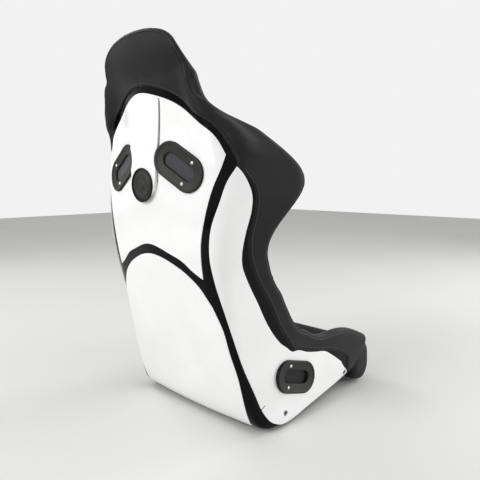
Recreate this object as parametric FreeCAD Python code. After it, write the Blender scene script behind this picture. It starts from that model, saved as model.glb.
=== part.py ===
import FreeCAD
import Part
import math
import os

V = FreeCAD.Vector

# Fixed-back racing bucket seat: a thin moulded shell with clip-on back and side panels,
# belt slots with bezels, side mounting inserts and upholstered bolsters round its rim.
# The sitter faces -Y, X is across, Z is up. Sizes are in millimetres.

# Driving dimensions: the moulded shell
mould_top = 950.0
head_half = 142.0
neck_half = 162.0
shoulder_back_half = 220.0
waist_back_half = 194.0
hip_half = 230.0
nose_half = 218.0
shoulder_rim_half = 278.0
waist_rim_half = 209.0
nose_rim_half = 223.0
shoulder_height = 566.0
shoulder_depth = 222.0
waist_height = 400.0
waist_depth = 136.0
hip_depth = 250.0
thigh_depth = 160.0
nose_depth = 40.0
nose_reach = 612.0
nose_rise = 74.0
belly_drop = 16.0
pivot_y = -480.0
pivot_z = 430.0
wall = 4.0

# Driving dimensions: panels
gap = 0.3
panel_skin = 2.0
ridge_top_half = 56.0
ridge_low_half = 43.0
ridge_low = 3.0
ridge_high = 8.0
slit_width = 2.5
slit_length = 17.0
slit_tilt = 35.0
slit_station = 16.9
slit_reach = 229.0

# Driving dimensions: belt slots and their bezels
slot_length = 94.0
slot_width = 32.0
bezel_border = 24.0
bezel_height = 5.0
bezel_lip = 2.5
inner_border = 20.0
inner_height = 3.5
shoulder_slot_out = 106.0
shoulder_slot_y = -23.0
shoulder_slot_height = 603.5
shoulder_slot_tilt = 30.0
lap_slot_y = -285.0
lap_slot_height = 94.0
lap_slot_tilt = 16.0
crotch_slot_y = -395.0
crotch_slot_length = 76.0
crotch_border = 16.0
screw_radius = 2.0
screw_head_radius = 4.0
screw_head_height = 2.2
screw_along = 28.0
screw_play = 0.3

# Driving dimensions: badge and side inserts
badge_height = 564.0
badge_radius = 38.5
badge_ring_width = 4.0
badge_thickness = 4.0
badge_sink = 2.5
insert_rear_y = -239.0
insert_rear_height = 19.0
insert_front_y = -512.0
insert_front_height = 41.0
insert_radius = 7.0
insert_bore = 4.0
insert_flange_radius = 11.0
insert_play = 1.0
insert_flange = 2.0
insert_proud = 0.5
bolt_room = 20.0

# Driving dimensions: upholstery
cover_skin = 4.0
rim_overhang = 15.0
rim_swell = 7.0
bolster_pad = 26.0
seam_gap = 0.6
head_top = 900.0
head_cover_half = 146.0
head_cover_low = 780.0
head_pad_depth = 34.0
head_cover_inset = 6.0
nose_pad_depth = 24.0
back_cushion_pad = 26.0
seat_cushion_pad = 30.0
lumbar_pad = 20.0

# Seams between the pads, as stations down the mould, and how far round a section the pads reach
rim_start = 2.36
shoulder_seam = 8.9
waist_seam = 11.6
nose_seam = 25.6
pad_start = 2.45
upper_pad_end = 7.3
backrest_end = 11.2
lumbar_end = 15.9
pad_spacing = 0.1
cover_side = 0.86
inner_edge_v = 0.80
cushion_side_v = 0.79

# How finely the double-curved faces are laid as flat facets
station_step = 1.15
facets_back = 3
facets_corner = 5
facets_side = 3
end_facets = 6
bar_facets = 8
badge_facets = 24
flap_facets = 3
outline_piece = 28.0

# Where outlines are drawn, clear of the back and of the side, and how deep they cut
back_plane = 60.0
back_depth = 230.0
side_plane = 330.0
side_depth = 180.0


def between(a, b, share):
    return a + (b - a) * share


# Each row is one station of the mould: centre line (y, z), back half width, fall of the back
# at mid width, fall at the corner, softness of the corner, rim half width and rim depth,
# then the half width that stays flat at the centre.
rows = [
    (-3, mould_top, head_half - 2, 4, 6, 10, head_half, 24, 40),
    (-2, mould_top - 50, head_half - 2, 4, 6, 10, head_half, 24, 40),
    (-2, mould_top - 105, head_half - 1, 5, 8, 10, head_half + 1, 26, 40),
    (-1, shoulder_height + 224, between(head_half, neck_half, 0.35), 11, 15, 18, head_half + 9, 44, 30),
    (-2, shoulder_height + 174, neck_half, 28, 26, 32, neck_half + 12, 76, 18),
    (-5, shoulder_height + 129, neck_half + 18, 30, 34, 46, neck_half + 44, 112, 18),
    (-7, shoulder_height + 86, neck_half + 38, 28, 36, 58, shoulder_rim_half - 34, 156, 20),
    (-9, shoulder_height + 44, shoulder_back_half - 6, 22, 36, 64, shoulder_rim_half - 6, 204, 25),
    (-10, shoulder_height, shoulder_back_half, 19, 36, 68, shoulder_rim_half, shoulder_depth, 25),
    (-11, shoulder_height - 48, shoulder_back_half - 2, 16, 32, 68, shoulder_rim_half - 16, 186, 25),
    (-15, waist_height + 60, shoulder_back_half - 11, 12, 24, 64, waist_rim_half + 25, 142, 25),
    (-23, waist_height, waist_back_half + 8, 10, 21, 60, waist_rim_half + 11, waist_depth, 25),
    (-36, waist_height - 55, waist_back_half + 3, 9, 19, 60, waist_rim_half + 5, waist_depth + 16, 25),
    (-53, waist_height - 115, waist_back_half, 8, 16, 54, waist_rim_half + 1, waist_depth + 36, 30),
    (-71, waist_height - 178, waist_back_half, 6, 13, 48, waist_rim_half, hip_depth - 54, 40),
    (-90, 160, waist_back_half + 4, 5, 10, 42, waist_rim_half, hip_depth - 35, 50),
    (-109, 105, hip_half - 26, 4, 8, 36, waist_rim_half + 1, hip_depth - 18, 60),
    (-127, 58, hip_half - 20, 3, 6, 30, waist_rim_half + 2, hip_depth - 6, 60),
    (-143, 18, hip_half - 10, 3, 6, 24, waist_rim_half + 3, hip_depth, 60),
    (-160, -6, hip_half - 4, 3, 6, 22, waist_rim_half + 4, hip_depth - 4, 60),
    (-190, -belly_drop + 3, hip_half, 3, 6, 22, waist_rim_half + 6, hip_depth - 5, 60),
    (-232, -belly_drop, hip_half + 1, 3, 6, 22, waist_rim_half + 8, hip_depth - 26, 60),
    (-286, -belly_drop, hip_half, 3, 6, 24, nose_rim_half - 4, thigh_depth + 39, 60),
    (-345, -belly_drop + 5, hip_half - 4, 3, 6, 26, nose_rim_half - 2, thigh_depth + 18, 60),
    (-405, -4, hip_half - 9, 3, 6, 28, nose_rim_half - 1, thigh_depth + 7, 60),
    (-460, 4, nose_half + 1, 3, 6, 28, nose_rim_half, thigh_depth - 4, 60),
    (-nose_reach + 102, 14, nose_half, 3, 6, 28, nose_rim_half, thigh_depth - 18, 60),
    (-nose_reach + 57, 28, nose_half, 3, 6, 28, nose_rim_half, nose_depth + 72, 60),
    (-nose_reach + 22, nose_rise - 26, nose_half, 3, 6, 28, nose_rim_half, nose_depth + 36, 60),
    (-nose_reach, nose_rise, nose_half, 3, 5, 28, nose_rim_half - 1, nose_depth, 60),
]
mid_share = 0.62


def section_direction(y, z):
    """The way a station's side walls stand: forward on the back, up under the thighs."""
    if z >= pivot_z:
        return V(0, -1, 0)
    if y <= pivot_y:
        return V(0, 0, 1)
    return V(0, pivot_y - y, pivot_z - z).normalize()


def control_points(row):
    y, z, half, mid_fall, fall, soft, rim_half, rim_depth, flat = row
    middle = V(mid_share * half, mid_fall, 0)
    corner = V(half, fall, 0)
    rim = V(rim_half, rim_depth, 0)
    before = corner - (corner - middle).normalize() * soft
    after = corner + (rim - corner).normalize() * soft
    side = [V(flat, 0, 0), middle, before, corner, after, (after + rim) * 0.5, rim]
    forward = section_direction(y, z)
    right = [V(p.x, y, z) + forward * p.y for p in side]
    return [V(-p.x, p.y, p.z) for p in reversed(right)] + right


def even_knots(count):
    inner = count - 3
    return [i / inner for i in range(inner + 1)], [4] + [1] * (inner - 1) + [4]


net = [control_points(row) for row in rows]
knots_down, repeats_down = even_knots(len(net))
knots_across, repeats_across = even_knots(len(net[0]))
form = Part.BSplineSurface()
form.buildFromPolesMultsKnots(
    net, repeats_down, repeats_across, knots_down, knots_across, False, False, 3, 3
)
last_station = len(rows) - 3.0


def surface(station, v, offset=0.0):
    """A point of the moulded form, moved outward by offset."""
    u = station / last_station
    return form.value(u, v) - form.normal(u, v) * offset


def v_at(station, reach):
    """Where the surface is reach mm from the centre line, measured round the section."""
    v = 0.5
    travelled = 0.0
    step = 0.01
    here = surface(station, v)
    while v < 1.0:
        there = surface(station, v + step)
        piece = (there - here).Length
        if travelled + piece >= reach:
            return v + step * (reach - travelled) / piece
        travelled += piece
        here = there
        v = min(v + step, 1.0)
    return 1.0


def v_below_rim(station, distance):
    """Where the surface is distance mm below the rim."""
    v = 1.0
    travelled = 0.0
    step = 0.01
    here = surface(station, v)
    while v > 0.5:
        there = surface(station, v - step)
        piece = (there - here).Length
        if travelled + piece >= distance:
            return v - step * (distance - travelled) / piece
        travelled += piece
        here = there
        v -= step
    return 0.5


def on_form(station, reach):
    return surface(station, v_at(station, reach))


# Lines of the facet grid, shared by every piece that lies on the form
steps_down = round(last_station / station_step)
lines = [last_station * i / steps_down for i in range(steps_down + 1)]
corner_start = 0.74
corner_end = 0.92
half_columns = [between(0.5, corner_start, i / facets_back) for i in range(facets_back)]
half_columns += [between(corner_start, corner_end, i / facets_corner) for i in range(facets_corner)]
half_columns += [between(corner_end, 1.0, i / facets_side) for i in range(facets_side + 1)]
columns = [1.0 - v for v in reversed(half_columns[1:])] + half_columns


def along_facets(station, v, offset):
    """A point over the facets between two grid lines, not over the curved form itself."""
    for low, high in zip(lines, lines[1:]):
        if station <= high:
            near = surface(low, v, offset)
            return near + (surface(high, v, offset) - near) * ((station - low) / (high - low))
    return surface(last_station, v, offset)


def solid_between(near, far):
    """A closed solid between two grids of points with the same rows and columns."""
    rows_count = len(near)
    width = len(near[0])
    points = [p for row in near for p in row] + [p for row in far for p in row]
    shift = rows_count * width

    def at(i, j, layer):
        return i * width + j + layer * shift

    facets = []

    def quad(a, b, c, d):
        if points[a].x + points[c].x < 0:
            facets.extend([(a, b, d), (b, c, d)])
        else:
            facets.extend([(a, b, c), (a, c, d)])

    for i in range(rows_count - 1):
        for j in range(width - 1):
            quad(at(i, j, 0), at(i, j + 1, 0), at(i + 1, j + 1, 0), at(i + 1, j, 0))
            quad(at(i, j, 1), at(i + 1, j, 1), at(i + 1, j + 1, 1), at(i, j + 1, 1))
    for j in range(width - 1):
        end = rows_count - 1
        quad(at(0, j, 0), at(0, j, 1), at(0, j + 1, 1), at(0, j + 1, 0))
        quad(at(end, j, 0), at(end, j + 1, 0), at(end, j + 1, 1), at(end, j, 1))
    for i in range(rows_count - 1):
        end = width - 1
        quad(at(i, 0, 0), at(i + 1, 0, 0), at(i + 1, 0, 1), at(i, 0, 1))
        quad(at(i, end, 0), at(i, end, 1), at(i + 1, end, 1), at(i + 1, end, 0))
    return solid_from(points, facets)


def solid_from(points, facets):
    shape = Part.Shape()
    shape.makeShapeFromMesh((points, facets), 0.001)
    solid = Part.Solid(shape)
    if solid.Volume < 0:
        solid.reverse()
    return solid


def skin(low, high, stations=None, sides=None):
    """A sheet that follows the form from offset low to offset high."""
    picked = [s for s in lines if stations is None or stations[0] <= s <= stations[1]]
    across = [v for v in columns if sides is None or sides[0] <= v <= sides[1]]

    def layer(offset):
        height = offset if callable(offset) else (lambda station: offset)
        return [[surface(s, v, height(s)) for v in across] for s in picked]

    return solid_between(layer(low), layer(high))


def mirrored(shape):
    return shape.mirror(V(0, 0, 0), V(1, 0, 0))


def run_through(points):
    """A smooth line through the points, laid as short straight pieces."""
    line = Part.BSplineCurve()
    line.interpolate(points)
    pieces = max(2, round(line.length() / outline_piece))
    return line.discretize(Number=pieces + 1)


def flat_face(runs):
    """A face whose outline is the runs joined end to end."""
    corners = [p for run in runs for p in run[:-1]]
    return Part.Face(Part.makePolygon(corners + corners[:1]))


def rear_points(places, behind):
    """Places on the form as seen from behind, on a plane that stands clear of it."""
    return [V(p.x, behind, p.z) for p in (on_form(station, reach) for station, reach in places)]


def flipped(points):
    return [V(-p.x, p.y, p.z) for p in reversed(points)]


def rear_prism(centre_top, side, centre_low, behind, depth):
    """A block with a mirrored outline drawn on the back, cutting depth mm into it."""
    top = rear_points(centre_top, behind)
    edge = rear_points(side, behind)
    low = rear_points(centre_low, behind)
    runs = [flipped(top)[:-1] + top, edge, low + flipped(low)[1:], flipped(edge)]
    return flat_face([run_through(run) for run in runs]).extrude(V(0, -depth, 0))


def slot_frame(centre, along):
    """Origin on the form, outward direction, and the long and short directions of a slot."""
    u, v = form.parameter(centre)
    origin = form.value(u, v)
    out = form.normal(u, v) * -1.0
    long_way = (along - out * along.dot(out)).normalize()
    return origin, out, long_way, out.cross(long_way)


def obround(frame, length, width, low, high):
    """A round-ended block standing on a slot frame from height low to height high."""
    origin, out, long_way, short_way = frame
    radius = width / 2
    corners = []
    for end in (1, -1):
        centre = origin + out * low + long_way * (end * (length / 2 - radius))
        for i in range(end_facets + 1):
            angle = math.pi * i / end_facets
            spoke = long_way * math.sin(angle) + short_way * math.cos(angle)
            corners.append(centre + spoke * (radius * end))
    return Part.Face(Part.makePolygon(corners + corners[:1])).extrude(out * (high - low))


def round_bar(frame, along, across, radius, low, high, facets=bar_facets):
    """A many-sided bar standing on a slot frame from height low to height high."""
    origin, out, long_way, short_way = frame
    centre = origin + long_way * along + short_way * across + out * low
    corners = []
    for i in range(facets):
        angle = 2 * math.pi * i / facets
        corners.append(centre + (long_way * math.cos(angle) + short_way * math.sin(angle)) * radius)
    return Part.Face(Part.makePolygon(corners + corners[:1])).extrude(out * (high - low))


# Heights over the form of what is stacked on its two faces
panel_low = gap
panel_top = gap + panel_skin
bezel_low = panel_top + gap
bezel_top = bezel_low + bezel_height
inner_low = -wall - gap
inner_top = inner_low - inner_height
reach_through = 60.0

shoulder_tilt = math.radians(shoulder_slot_tilt)
lap_tilt = math.radians(lap_slot_tilt)
shoulder_slot = slot_frame(
    V(shoulder_slot_out, shoulder_slot_y, shoulder_slot_height),
    V(math.cos(shoulder_tilt), 0, -math.sin(shoulder_tilt)),
)
lap_slot = slot_frame(
    V(waist_rim_half + 8, lap_slot_y, lap_slot_height), V(0, math.cos(lap_tilt), math.sin(lap_tilt))
)
crotch_slot = slot_frame(V(0, crotch_slot_y, 0), V(1, 0, 0))
badge_frame = slot_frame(V(0, 0, badge_height), V(1, 0, 0))
badge_seat = panel_top + ridge_high - badge_sink
insert_frames = [
    slot_frame(V(hip_half, insert_rear_y, insert_rear_height), V(0, 1, 0)),
    slot_frame(V(nose_half, insert_front_y, insert_front_height), V(0, 1, 0)),
]
shoulder_patch = ((4, 9), (0.5, 0.9))
lap_patch = ((15, 24), (0.8, 1.0))
crotch_patch = ((21, 25), (0.25, 0.75))

bezel_length = slot_length + 2 * bezel_border
bezel_width = slot_width + 2 * bezel_border
collar_length = slot_length + 2 * bezel_lip
collar_width = slot_width + 2 * bezel_lip
inner_length = slot_length + 2 * inner_border
inner_width = slot_width + 2 * inner_border
crotch_bezel_length = crotch_slot_length + 2 * crotch_border
crotch_bezel_width = slot_width + 2 * crotch_border
screw_across = slot_width / 2 + bezel_border * 0.4
screw_places = [(screw_along, screw_across), (screw_along, -screw_across)]
screw_hole = screw_radius + screw_play
screw_seat = bezel_low + bezel_height * 0.5


def slot_and_screw_holes(frame):
    """What a belt slot takes out of a wall: the collar's way through and the screws' holes."""
    length = collar_length + 2 * gap
    width = collar_width + 2 * gap
    block = obround(frame, length, width, -reach_through, reach_through)
    for along, across in screw_places:
        block = block.fuse(round_bar(frame, along, across, screw_hole, -reach_through, reach_through))
    return block


def make_bezel(frame, patch):
    """The outer bezel: a flange seated on the panel, dished towards the slot, and a collar."""
    rim = bezel_border * 0.3
    flange = obround(frame, bezel_length, bezel_width, -bezel_height, bezel_top)
    flange = flange.cut(skin(-2 * bezel_height, bezel_low, *patch))
    dish = obround(frame, bezel_length - 2 * rim, bezel_width - 2 * rim, screw_seat, 2 * bezel_top)
    collar = obround(frame, collar_length, collar_width, inner_top, screw_seat)
    bezel = flange.cut(dish).fuse(collar)
    bezel = bezel.cut(obround(frame, slot_length, slot_width, -reach_through, reach_through))
    for along, across in screw_places:
        bezel = bezel.cut(round_bar(frame, along, across, screw_hole, -reach_through, reach_through))
    return largest(bezel)


def make_inner_bezel(frame, patch):
    ring = skin(inner_low, inner_top, *patch)
    ring = ring.common(obround(frame, inner_length, inner_width, -reach_through, reach_through))
    return largest(ring.cut(slot_and_screw_holes(frame)))


def make_screw(frame, along, across):
    """A button-head screw clamping the outer bezel to the inner one."""
    shank = round_bar(frame, along, across, screw_radius, inner_top, screw_seat)
    head = round_bar(frame, along, across, screw_head_radius, screw_seat, screw_seat + screw_head_height)
    return shank.fuse(head).removeSplitter()


def largest(shape):
    """The main solid of a cut, without any sliver left beside it."""
    return max(shape.Solids, key=lambda solid: solid.Volume)


# Edges of the back and side panels: (station, mm from the centre line round the shell)
upper_top_edge = [(2.5, 0), (2.7, 52), (3.1, 100), (4.0, 157), (5.0, 204), (5.6, 219)]
upper_side_edge = [(5.6, 219), (6.1, 213), (7.2, 193), (8.4, 175), (9.3, 163), (10.7, 156)]
upper_low_edge = [(10.7, 156), (10.4, 129), (10.1, 107), (9.8, 66), (9.5, 0)]
lower_top_edge = [(9.9, 0), (10.2, 69), (10.7, 118), (11.1, 142), (11.8, 166)]
lower_side_edge = [(11.8, 166), (12.6, 180), (13.6, 187), (14.6, 195), (15.8, 197), (17.7, 196)]
lower_low_edge = [(17.7, 196), (17.8, 100), (17.8, 0)]
side_rear_edge = [(6.15, 243), (6.7, 227), (7.8, 208), (8.8, 189), (9.6, 182), (10.7, 183), (12.2, 192),
                  (14.1, 209), (16.5, 237), (17.9, 245), (18.7, 240), (19.9, 230)]
side_low_edge = [(19.9, 230), (21.5, 234), (23.0, 226), (25.5, 220)]
side_nose_edge = [(25.5, 220), (25.25, 244), (24.6, 275)]

# Distances below the rim, by station: the side panel's front edge and the upholstery's hem
panel_below_rim = [(6.15, 143), (6.9, 130), (7.7, 101), (8.3, 79), (9.0, 62), (10.5, 62), (12.2, 69),
                   (13.6, 79), (15.7, 75), (17.0, 57), (18.5, 43), (20.0, 36), (21.5, 29), (22.4, 31),
                   (23.6, 54), (24.6, 79)]
hem_below_rim = [(2.3, 60), (6.2, 140), (7.8, 89), (8.6, 60), (9.3, 45), (12.1, 42), (15.2, 55), (16.8, 46),
                 (18.7, 39), (21.0, 27), (22.5, 29), (24.7, 56), (25.9, 82)]


def read_off(table, station):
    """The value at a station, in straight lines between the entries of a table."""
    for (s0, a), (s1, b) in zip(table, table[1:]):
        if station <= s1:
            return between(a, b, max(0.0, (station - s0) / (s1 - s0)))
    return table[-1][1]


def below_rim_points(table, outside):
    points = [surface(s, v_below_rim(s, distance)) for s, distance in table]
    return [V(outside, p.y, p.z) for p in points]


def make_shell():
    shell = skin(-wall, 0)
    shell = shell.cut(head_trim(head_cover_inset))
    for frame in (shoulder_slot, lap_slot):
        holes = slot_and_screw_holes(frame)
        shell = shell.cut(holes).cut(mirrored(holes))
    for frame in insert_frames:
        hole = insert_hole(frame)
        shell = shell.cut(hole).cut(mirrored(hole))
    return largest(shell.cut(crotch_hole()))


def insert_hole(frame):
    return round_bar(frame, 0, 0, insert_radius + gap, -reach_through / 2, reach_through / 2)


def crotch_hole():
    length = crotch_slot_length + 2 * bezel_lip + 2 * gap
    width = slot_width + 2 * bezel_lip + 2 * gap
    return obround(crotch_slot, length, width, -reach_through, reach_through)


def make_upper_panel():
    """The back panel with its raised spine, the two shoulder slots and the badge seat."""
    sheet = skin(panel_low, panel_top, (2, 11.8), (0.08, 0.92))
    outline = rear_prism(upper_top_edge, upper_side_edge, upper_low_edge, back_plane, back_depth)
    panel = sheet.common(outline)
    panel = panel.fuse(make_ridge())
    holes = slot_and_screw_holes(shoulder_slot)
    panel = panel.cut(holes).cut(mirrored(holes))
    return largest(panel.cut(badge_bar(badge_radius + gap, -gap, reach_through)))


def make_ridge():
    """The raised spine, a little prouder at its lower end, rounded round the badge."""
    rise = ridge_high - ridge_low

    def crest(station):
        return panel_top + ridge_low + rise * (station - 2.5) / 4.5

    block = skin(panel_low + panel_skin * 0.4, crest, (2, 9), (0.35, 0.65))
    top = on_form(2.75, 0)
    shoulder = on_form(2.95, ridge_top_half)
    low = badge_frame[0]
    drop = ridge_low_half * 0.1
    left = [V(shoulder.x, back_plane, shoulder.z), V(ridge_low_half, back_plane, low.z + drop)]
    right = flipped(left)
    arch = Part.Arc(right[1], V(0, back_plane, top.z), left[0]).discretize(Number=end_facets)
    bottom = V(0, back_plane, low.z - ridge_low_half)
    foot = Part.Arc(left[1], bottom, right[0]).discretize(Number=end_facets + 1)
    ridge = block.common(flat_face([arch, left, foot, right]).extrude(V(0, -back_depth, 0)))
    clear = obround(shoulder_slot, bezel_length + 2 * gap, bezel_width + 2 * gap, -gap, reach_through)
    return ridge.cut(clear).cut(mirrored(clear))


def make_lower_panel():
    sheet = skin(panel_low, panel_top, (9, 19), (0.08, 0.92))
    outline = rear_prism(lower_top_edge, lower_side_edge, lower_low_edge, back_plane, back_depth)
    return largest(sheet.common(outline))


def make_side_panel():
    """The left side panel: lap slot, two insert holes and the relief slit in its rear edge."""
    sheet = skin(panel_low, panel_top, (5, 26.2), (0.74, 1.0))
    rear = [V(side_plane, p.y, p.z) for p in (on_form(s, reach) for s, reach in side_rear_edge)]
    low = [V(side_plane, p.y, p.z) for p in (on_form(s, reach) for s, reach in side_low_edge)]
    nose = [V(side_plane, p.y, p.z) for p in (on_form(s, reach) for s, reach in side_nose_edge)]
    front = list(reversed(below_rim_points(panel_below_rim, side_plane)))
    front = [nose[-1]] + front[1:-1] + [rear[0]]
    outline = flat_face([run_through(run) for run in (rear, low, nose, front)])
    panel = sheet.common(outline.extrude(V(-side_depth, 0, 0)))
    panel = panel.cut(slot_and_screw_holes(lap_slot))
    for frame in insert_frames:
        panel = panel.cut(insert_hole(frame))
    slit_mouth = on_form(slit_station, slit_reach)
    slit = Part.makeBox(reach_through, slit_length, slit_width, V(slit_mouth.x - reach_through / 2, 0, 0))
    slit.translate(V(0, -slit_length, 0))
    slit.rotate(V(slit_mouth.x, 0, 0), V(1, 0, 0), -slit_tilt)
    slit.translate(V(0, slit_mouth.y, slit_mouth.z))
    return largest(panel.cut(slit))


def head_outline(inset, y):
    """Corners of the head seen from behind, drawn in by inset."""
    foot = V(head_cover_half + 13 - inset, y, head_cover_low)
    side = V(head_cover_half - inset, y, head_top - 70)
    bend = V(head_cover_half - 12 - 0.9 * inset, y, head_top - 49 - 0.6 * inset)
    shoulder = V(head_cover_half - 36 - 0.5 * inset, y, head_top - 36 - 0.9 * inset)
    crown = V(0, y, head_top - inset)
    right = [foot] + Part.Arc(side, bend, shoulder).discretize(Number=5)
    top = Part.Arc(shoulder, crown, V(-shoulder.x, y, shoulder.z)).discretize(Number=10)
    return right + top[1:-1] + flipped(right)


def stacked(loops):
    """A closed solid through loops of corners, capped at both ends."""
    count = len(loops[0])
    points = [p for loop in loops for p in loop]
    facets = []
    for i in range(len(loops) - 1):
        for j in range(count):
            a = i * count + j
            b = i * count + (j + 1) % count
            facets += [(a, b, b + count), (a, b + count, a + count)]
    for loop, start in ((loops[0], 0), (loops[-1], len(points) - count)):
        hub = len(points)
        points.append(sum(loop, V(0, 0, 0)) * (1 / count))
        for j in range(count):
            a = start + j
            b = start + (j + 1) % count
            facets.append((hub, b, a) if start == 0 else (hub, a, b))
    return solid_from(points, facets)


def head_trim(inset):
    """What is cut off the mould above the rounded top of the head."""
    height = mould_top - head_top + 90
    block = Part.makeBox(4 * head_half, 300, height, V(-2 * head_half, -200, head_top - 80))
    corners = head_outline(inset, 100)
    return block.cut(Part.Face(Part.makePolygon(corners + corners[:1])).extrude(V(0, -300, 0)))


def make_head_cover():
    """The padded head: a pillow pulled over the top of the shell."""
    levels = [(8, 3), (2.5, 0), (0, -6), (0, -28), (6, -head_pad_depth - 12), (22, -head_pad_depth - 22),
              (48, -head_pad_depth - 28)]
    pillow = stacked([head_outline(inset, y) for inset, y in levels])
    core = skin(-wall - seam_gap, seam_gap, (0, 4.5))
    return largest(pillow.cut(core.cut(head_trim(head_cover_inset - seam_gap))))


# Edge of the upholstery across the back, (station, mm from the centre line)
rear_hem = [(2.25, 0), (2.4, 52), (2.8, 104), (3.7, 163), (4.7, 212), (5.4, 232), (6.1, 250)]


def make_shoulder_cover():
    """The upholstery over one shoulder, between the head cover and the back panel."""
    sheet = skin(gap, gap + cover_skin, (1.9, 6.4), (0.5, cover_side))
    hem = run_through(rear_points(rear_hem, back_plane))
    foot = V(hem[-1].x + 60, back_plane, hem[-1].z - 5)
    low = V(foot.x, back_plane, waist_height)
    inner = [V(-30, back_plane, waist_height), V(-30, back_plane, hem[0].z), hem[0]]
    below = flat_face([hem, [hem[-1], foot, low] + inner]).extrude(V(0, -back_depth, 0))
    above = Part.makeBox(800, 400, 300, V(-400, -300, head_cover_low - seam_gap))
    return largest(sheet.cut(below).cut(above))


def rolled_section(station, hem, inner_v, pad):
    """One section of the upholstery folded over the rim: points against the shell, points outside."""
    start = max(v_below_rim(station, hem), cover_side + 0.003)
    near = []
    far = []
    for i in range(flap_facets + 1):
        share = i / flap_facets
        v = between(start, 1.0, share)
        near.append(along_facets(station, v, seam_gap))
        far.append(along_facets(station, v, seam_gap + between(cover_skin, rim_swell, share * share)))
    rim = along_facets(station, 1.0, 0)
    out = (along_facets(station, 1.0, 1.0) - rim).normalize()
    beyond = (rim - along_facets(station, 0.99, 0)).normalize()
    edge = rim + beyond * seam_gap
    near += [edge + out * seam_gap, edge - out * (wall / 2), edge - out * (wall + seam_gap)]
    far += [
        rim + beyond * (rim_overhang * 0.7) + out * (rim_swell * 0.8),
        rim + beyond * rim_overhang - out * (wall + rim_swell) * 0.5,
        rim + beyond * (rim_overhang * 0.75) - out * (wall + pad * 0.6),
    ]
    inner = [v for v in reversed(columns) if v >= inner_edge_v]
    for v in inner:
        share = (1.0 - v) / (1.0 - inner[-1])
        near.append(along_facets(station, v, -wall - seam_gap))
        swell = pad * (0.9 + 0.4 * share - 0.9 * share * share)
        far.append(along_facets(station, v, -wall - seam_gap - swell))
    return near, far


def make_bolster(first, last, pad):
    """A length of the left rim bolster from one seam to the next."""
    stations = [first] + [s for s in lines if first + 0.2 < s < last - 0.2] + [last]
    near = []
    far = []
    for station in stations:
        against, outside = rolled_section(station, read_off(hem_below_rim, station), inner_edge_v, pad)
        near.append(against)
        far.append(outside)
    return solid_between(far, near)


def make_nose_pad():
    """The front pad, rolled over the front edge of the seat base."""
    stations = [nose_seam + seam_gap / 50] + [s for s in lines if s > nose_seam + 0.2] + [last_station]
    across = [0.0] + columns + [1.0]

    def grid(height, edge, grow):
        rows_out = [[along_facets(station, v, height) for v in across] for station in stations]
        side = 0.8 * grow
        for station, row in zip(stations, rows_out):
            left = (surface(station, 1.0) - surface(station, 0.99)).normalize()
            row[-1] = surface(station, 1.0, edge) + left * side
            row[0] = V(-row[-1].x, row[-1].y, row[-1].z)
        ahead = [
            (surface(last_station, v) - surface(last_station - 0.1, v)).normalize() for v in across
        ]
        front = [surface(last_station, v, edge) for v in across]
        front[0] = V(rows_out[-2][0])
        front[-1] = V(rows_out[-2][-1])
        rows_out[-1] = [p + d * grow for p, d in zip(front, ahead)]
        return rows_out

    outside = grid(cover_skin + seam_gap, 2.0, rim_overhang)
    inside = grid(-wall - nose_pad_depth, -wall - nose_pad_depth * 0.6, rim_overhang)
    block = solid_between(inside, outside)
    near = grid(seam_gap, seam_gap, seam_gap)
    far = grid(-wall - seam_gap, -wall - seam_gap, seam_gap)
    for layer in (near, far):
        layer[0] = [p + (p - q).normalize() * 5 for p, q in zip(layer[0], layer[1])]
    return largest(block.cut(solid_between(far, near)))


def make_cushion(first, last, pad):
    """A crowned cushion lying on the inside of the shell."""
    stations = [first] + [s for s in lines if first + 0.3 < s < last - 0.3] + [last]
    across = [v for v in columns if 1.0 - cushion_side_v <= v <= cushion_side_v]
    near = []
    far = []
    for station in stations:
        run = (station - first) / (last - first)
        crown = 0.35 + 0.65 * math.sin(math.pi * between(0.06, 0.94, run)) ** 0.5
        against = []
        outside = []
        for v in across:
            share = (v - across[0]) / (across[-1] - across[0])
            puff = crown * (0.4 + 0.6 * math.sin(math.pi * between(0.05, 0.95, share)) ** 0.5)
            against.append(along_facets(station, v, -wall - seam_gap))
            outside.append(along_facets(station, v, -wall - seam_gap - pad * puff))
        near.append(against)
        far.append(outside)
    return solid_between(far, near)


def badge_bar(radius, low, high):
    return round_bar(badge_frame, 0, 0, radius, badge_seat + low, badge_seat + high, badge_facets)


def make_badge_ring():
    hole = badge_bar(badge_radius - badge_ring_width, 0, badge_thickness)
    return badge_bar(badge_radius, 0, badge_thickness).cut(hole)


def make_badge_disc():
    """A plain stepped disc inside the ring."""
    radius = badge_radius - badge_ring_width - gap
    disc = badge_bar(radius, 0, badge_thickness * 0.6)
    return disc.fuse(badge_bar(radius * 0.8, badge_thickness * 0.6, badge_thickness)).removeSplitter()


def make_insert(frame):
    """A flanged threaded insert set into the shell wall from inside, flush with the side panel."""
    seat = inner_low - insert_play
    outer_end = panel_top + insert_proud
    barrel = round_bar(frame, 0, 0, insert_radius, seat, outer_end)
    flange = round_bar(frame, 0, 0, insert_flange_radius, seat - insert_flange, seat)
    start = frame[0] - frame[1] * (reach_through / 2)
    bore = Part.makeCylinder(insert_bore, reach_through, start, frame[1])
    return barrel.fuse(flange).cut(bore).removeSplitter()


def clear_of_inserts(shape):
    """A bolster with room left for the inserts' flanges and bolt ends behind it."""
    for frame in insert_frames:
        shape = shape.cut(round_bar(frame, 0, 0, insert_flange_radius + seam_gap, -bolt_room, 0))
    return shape


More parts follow.
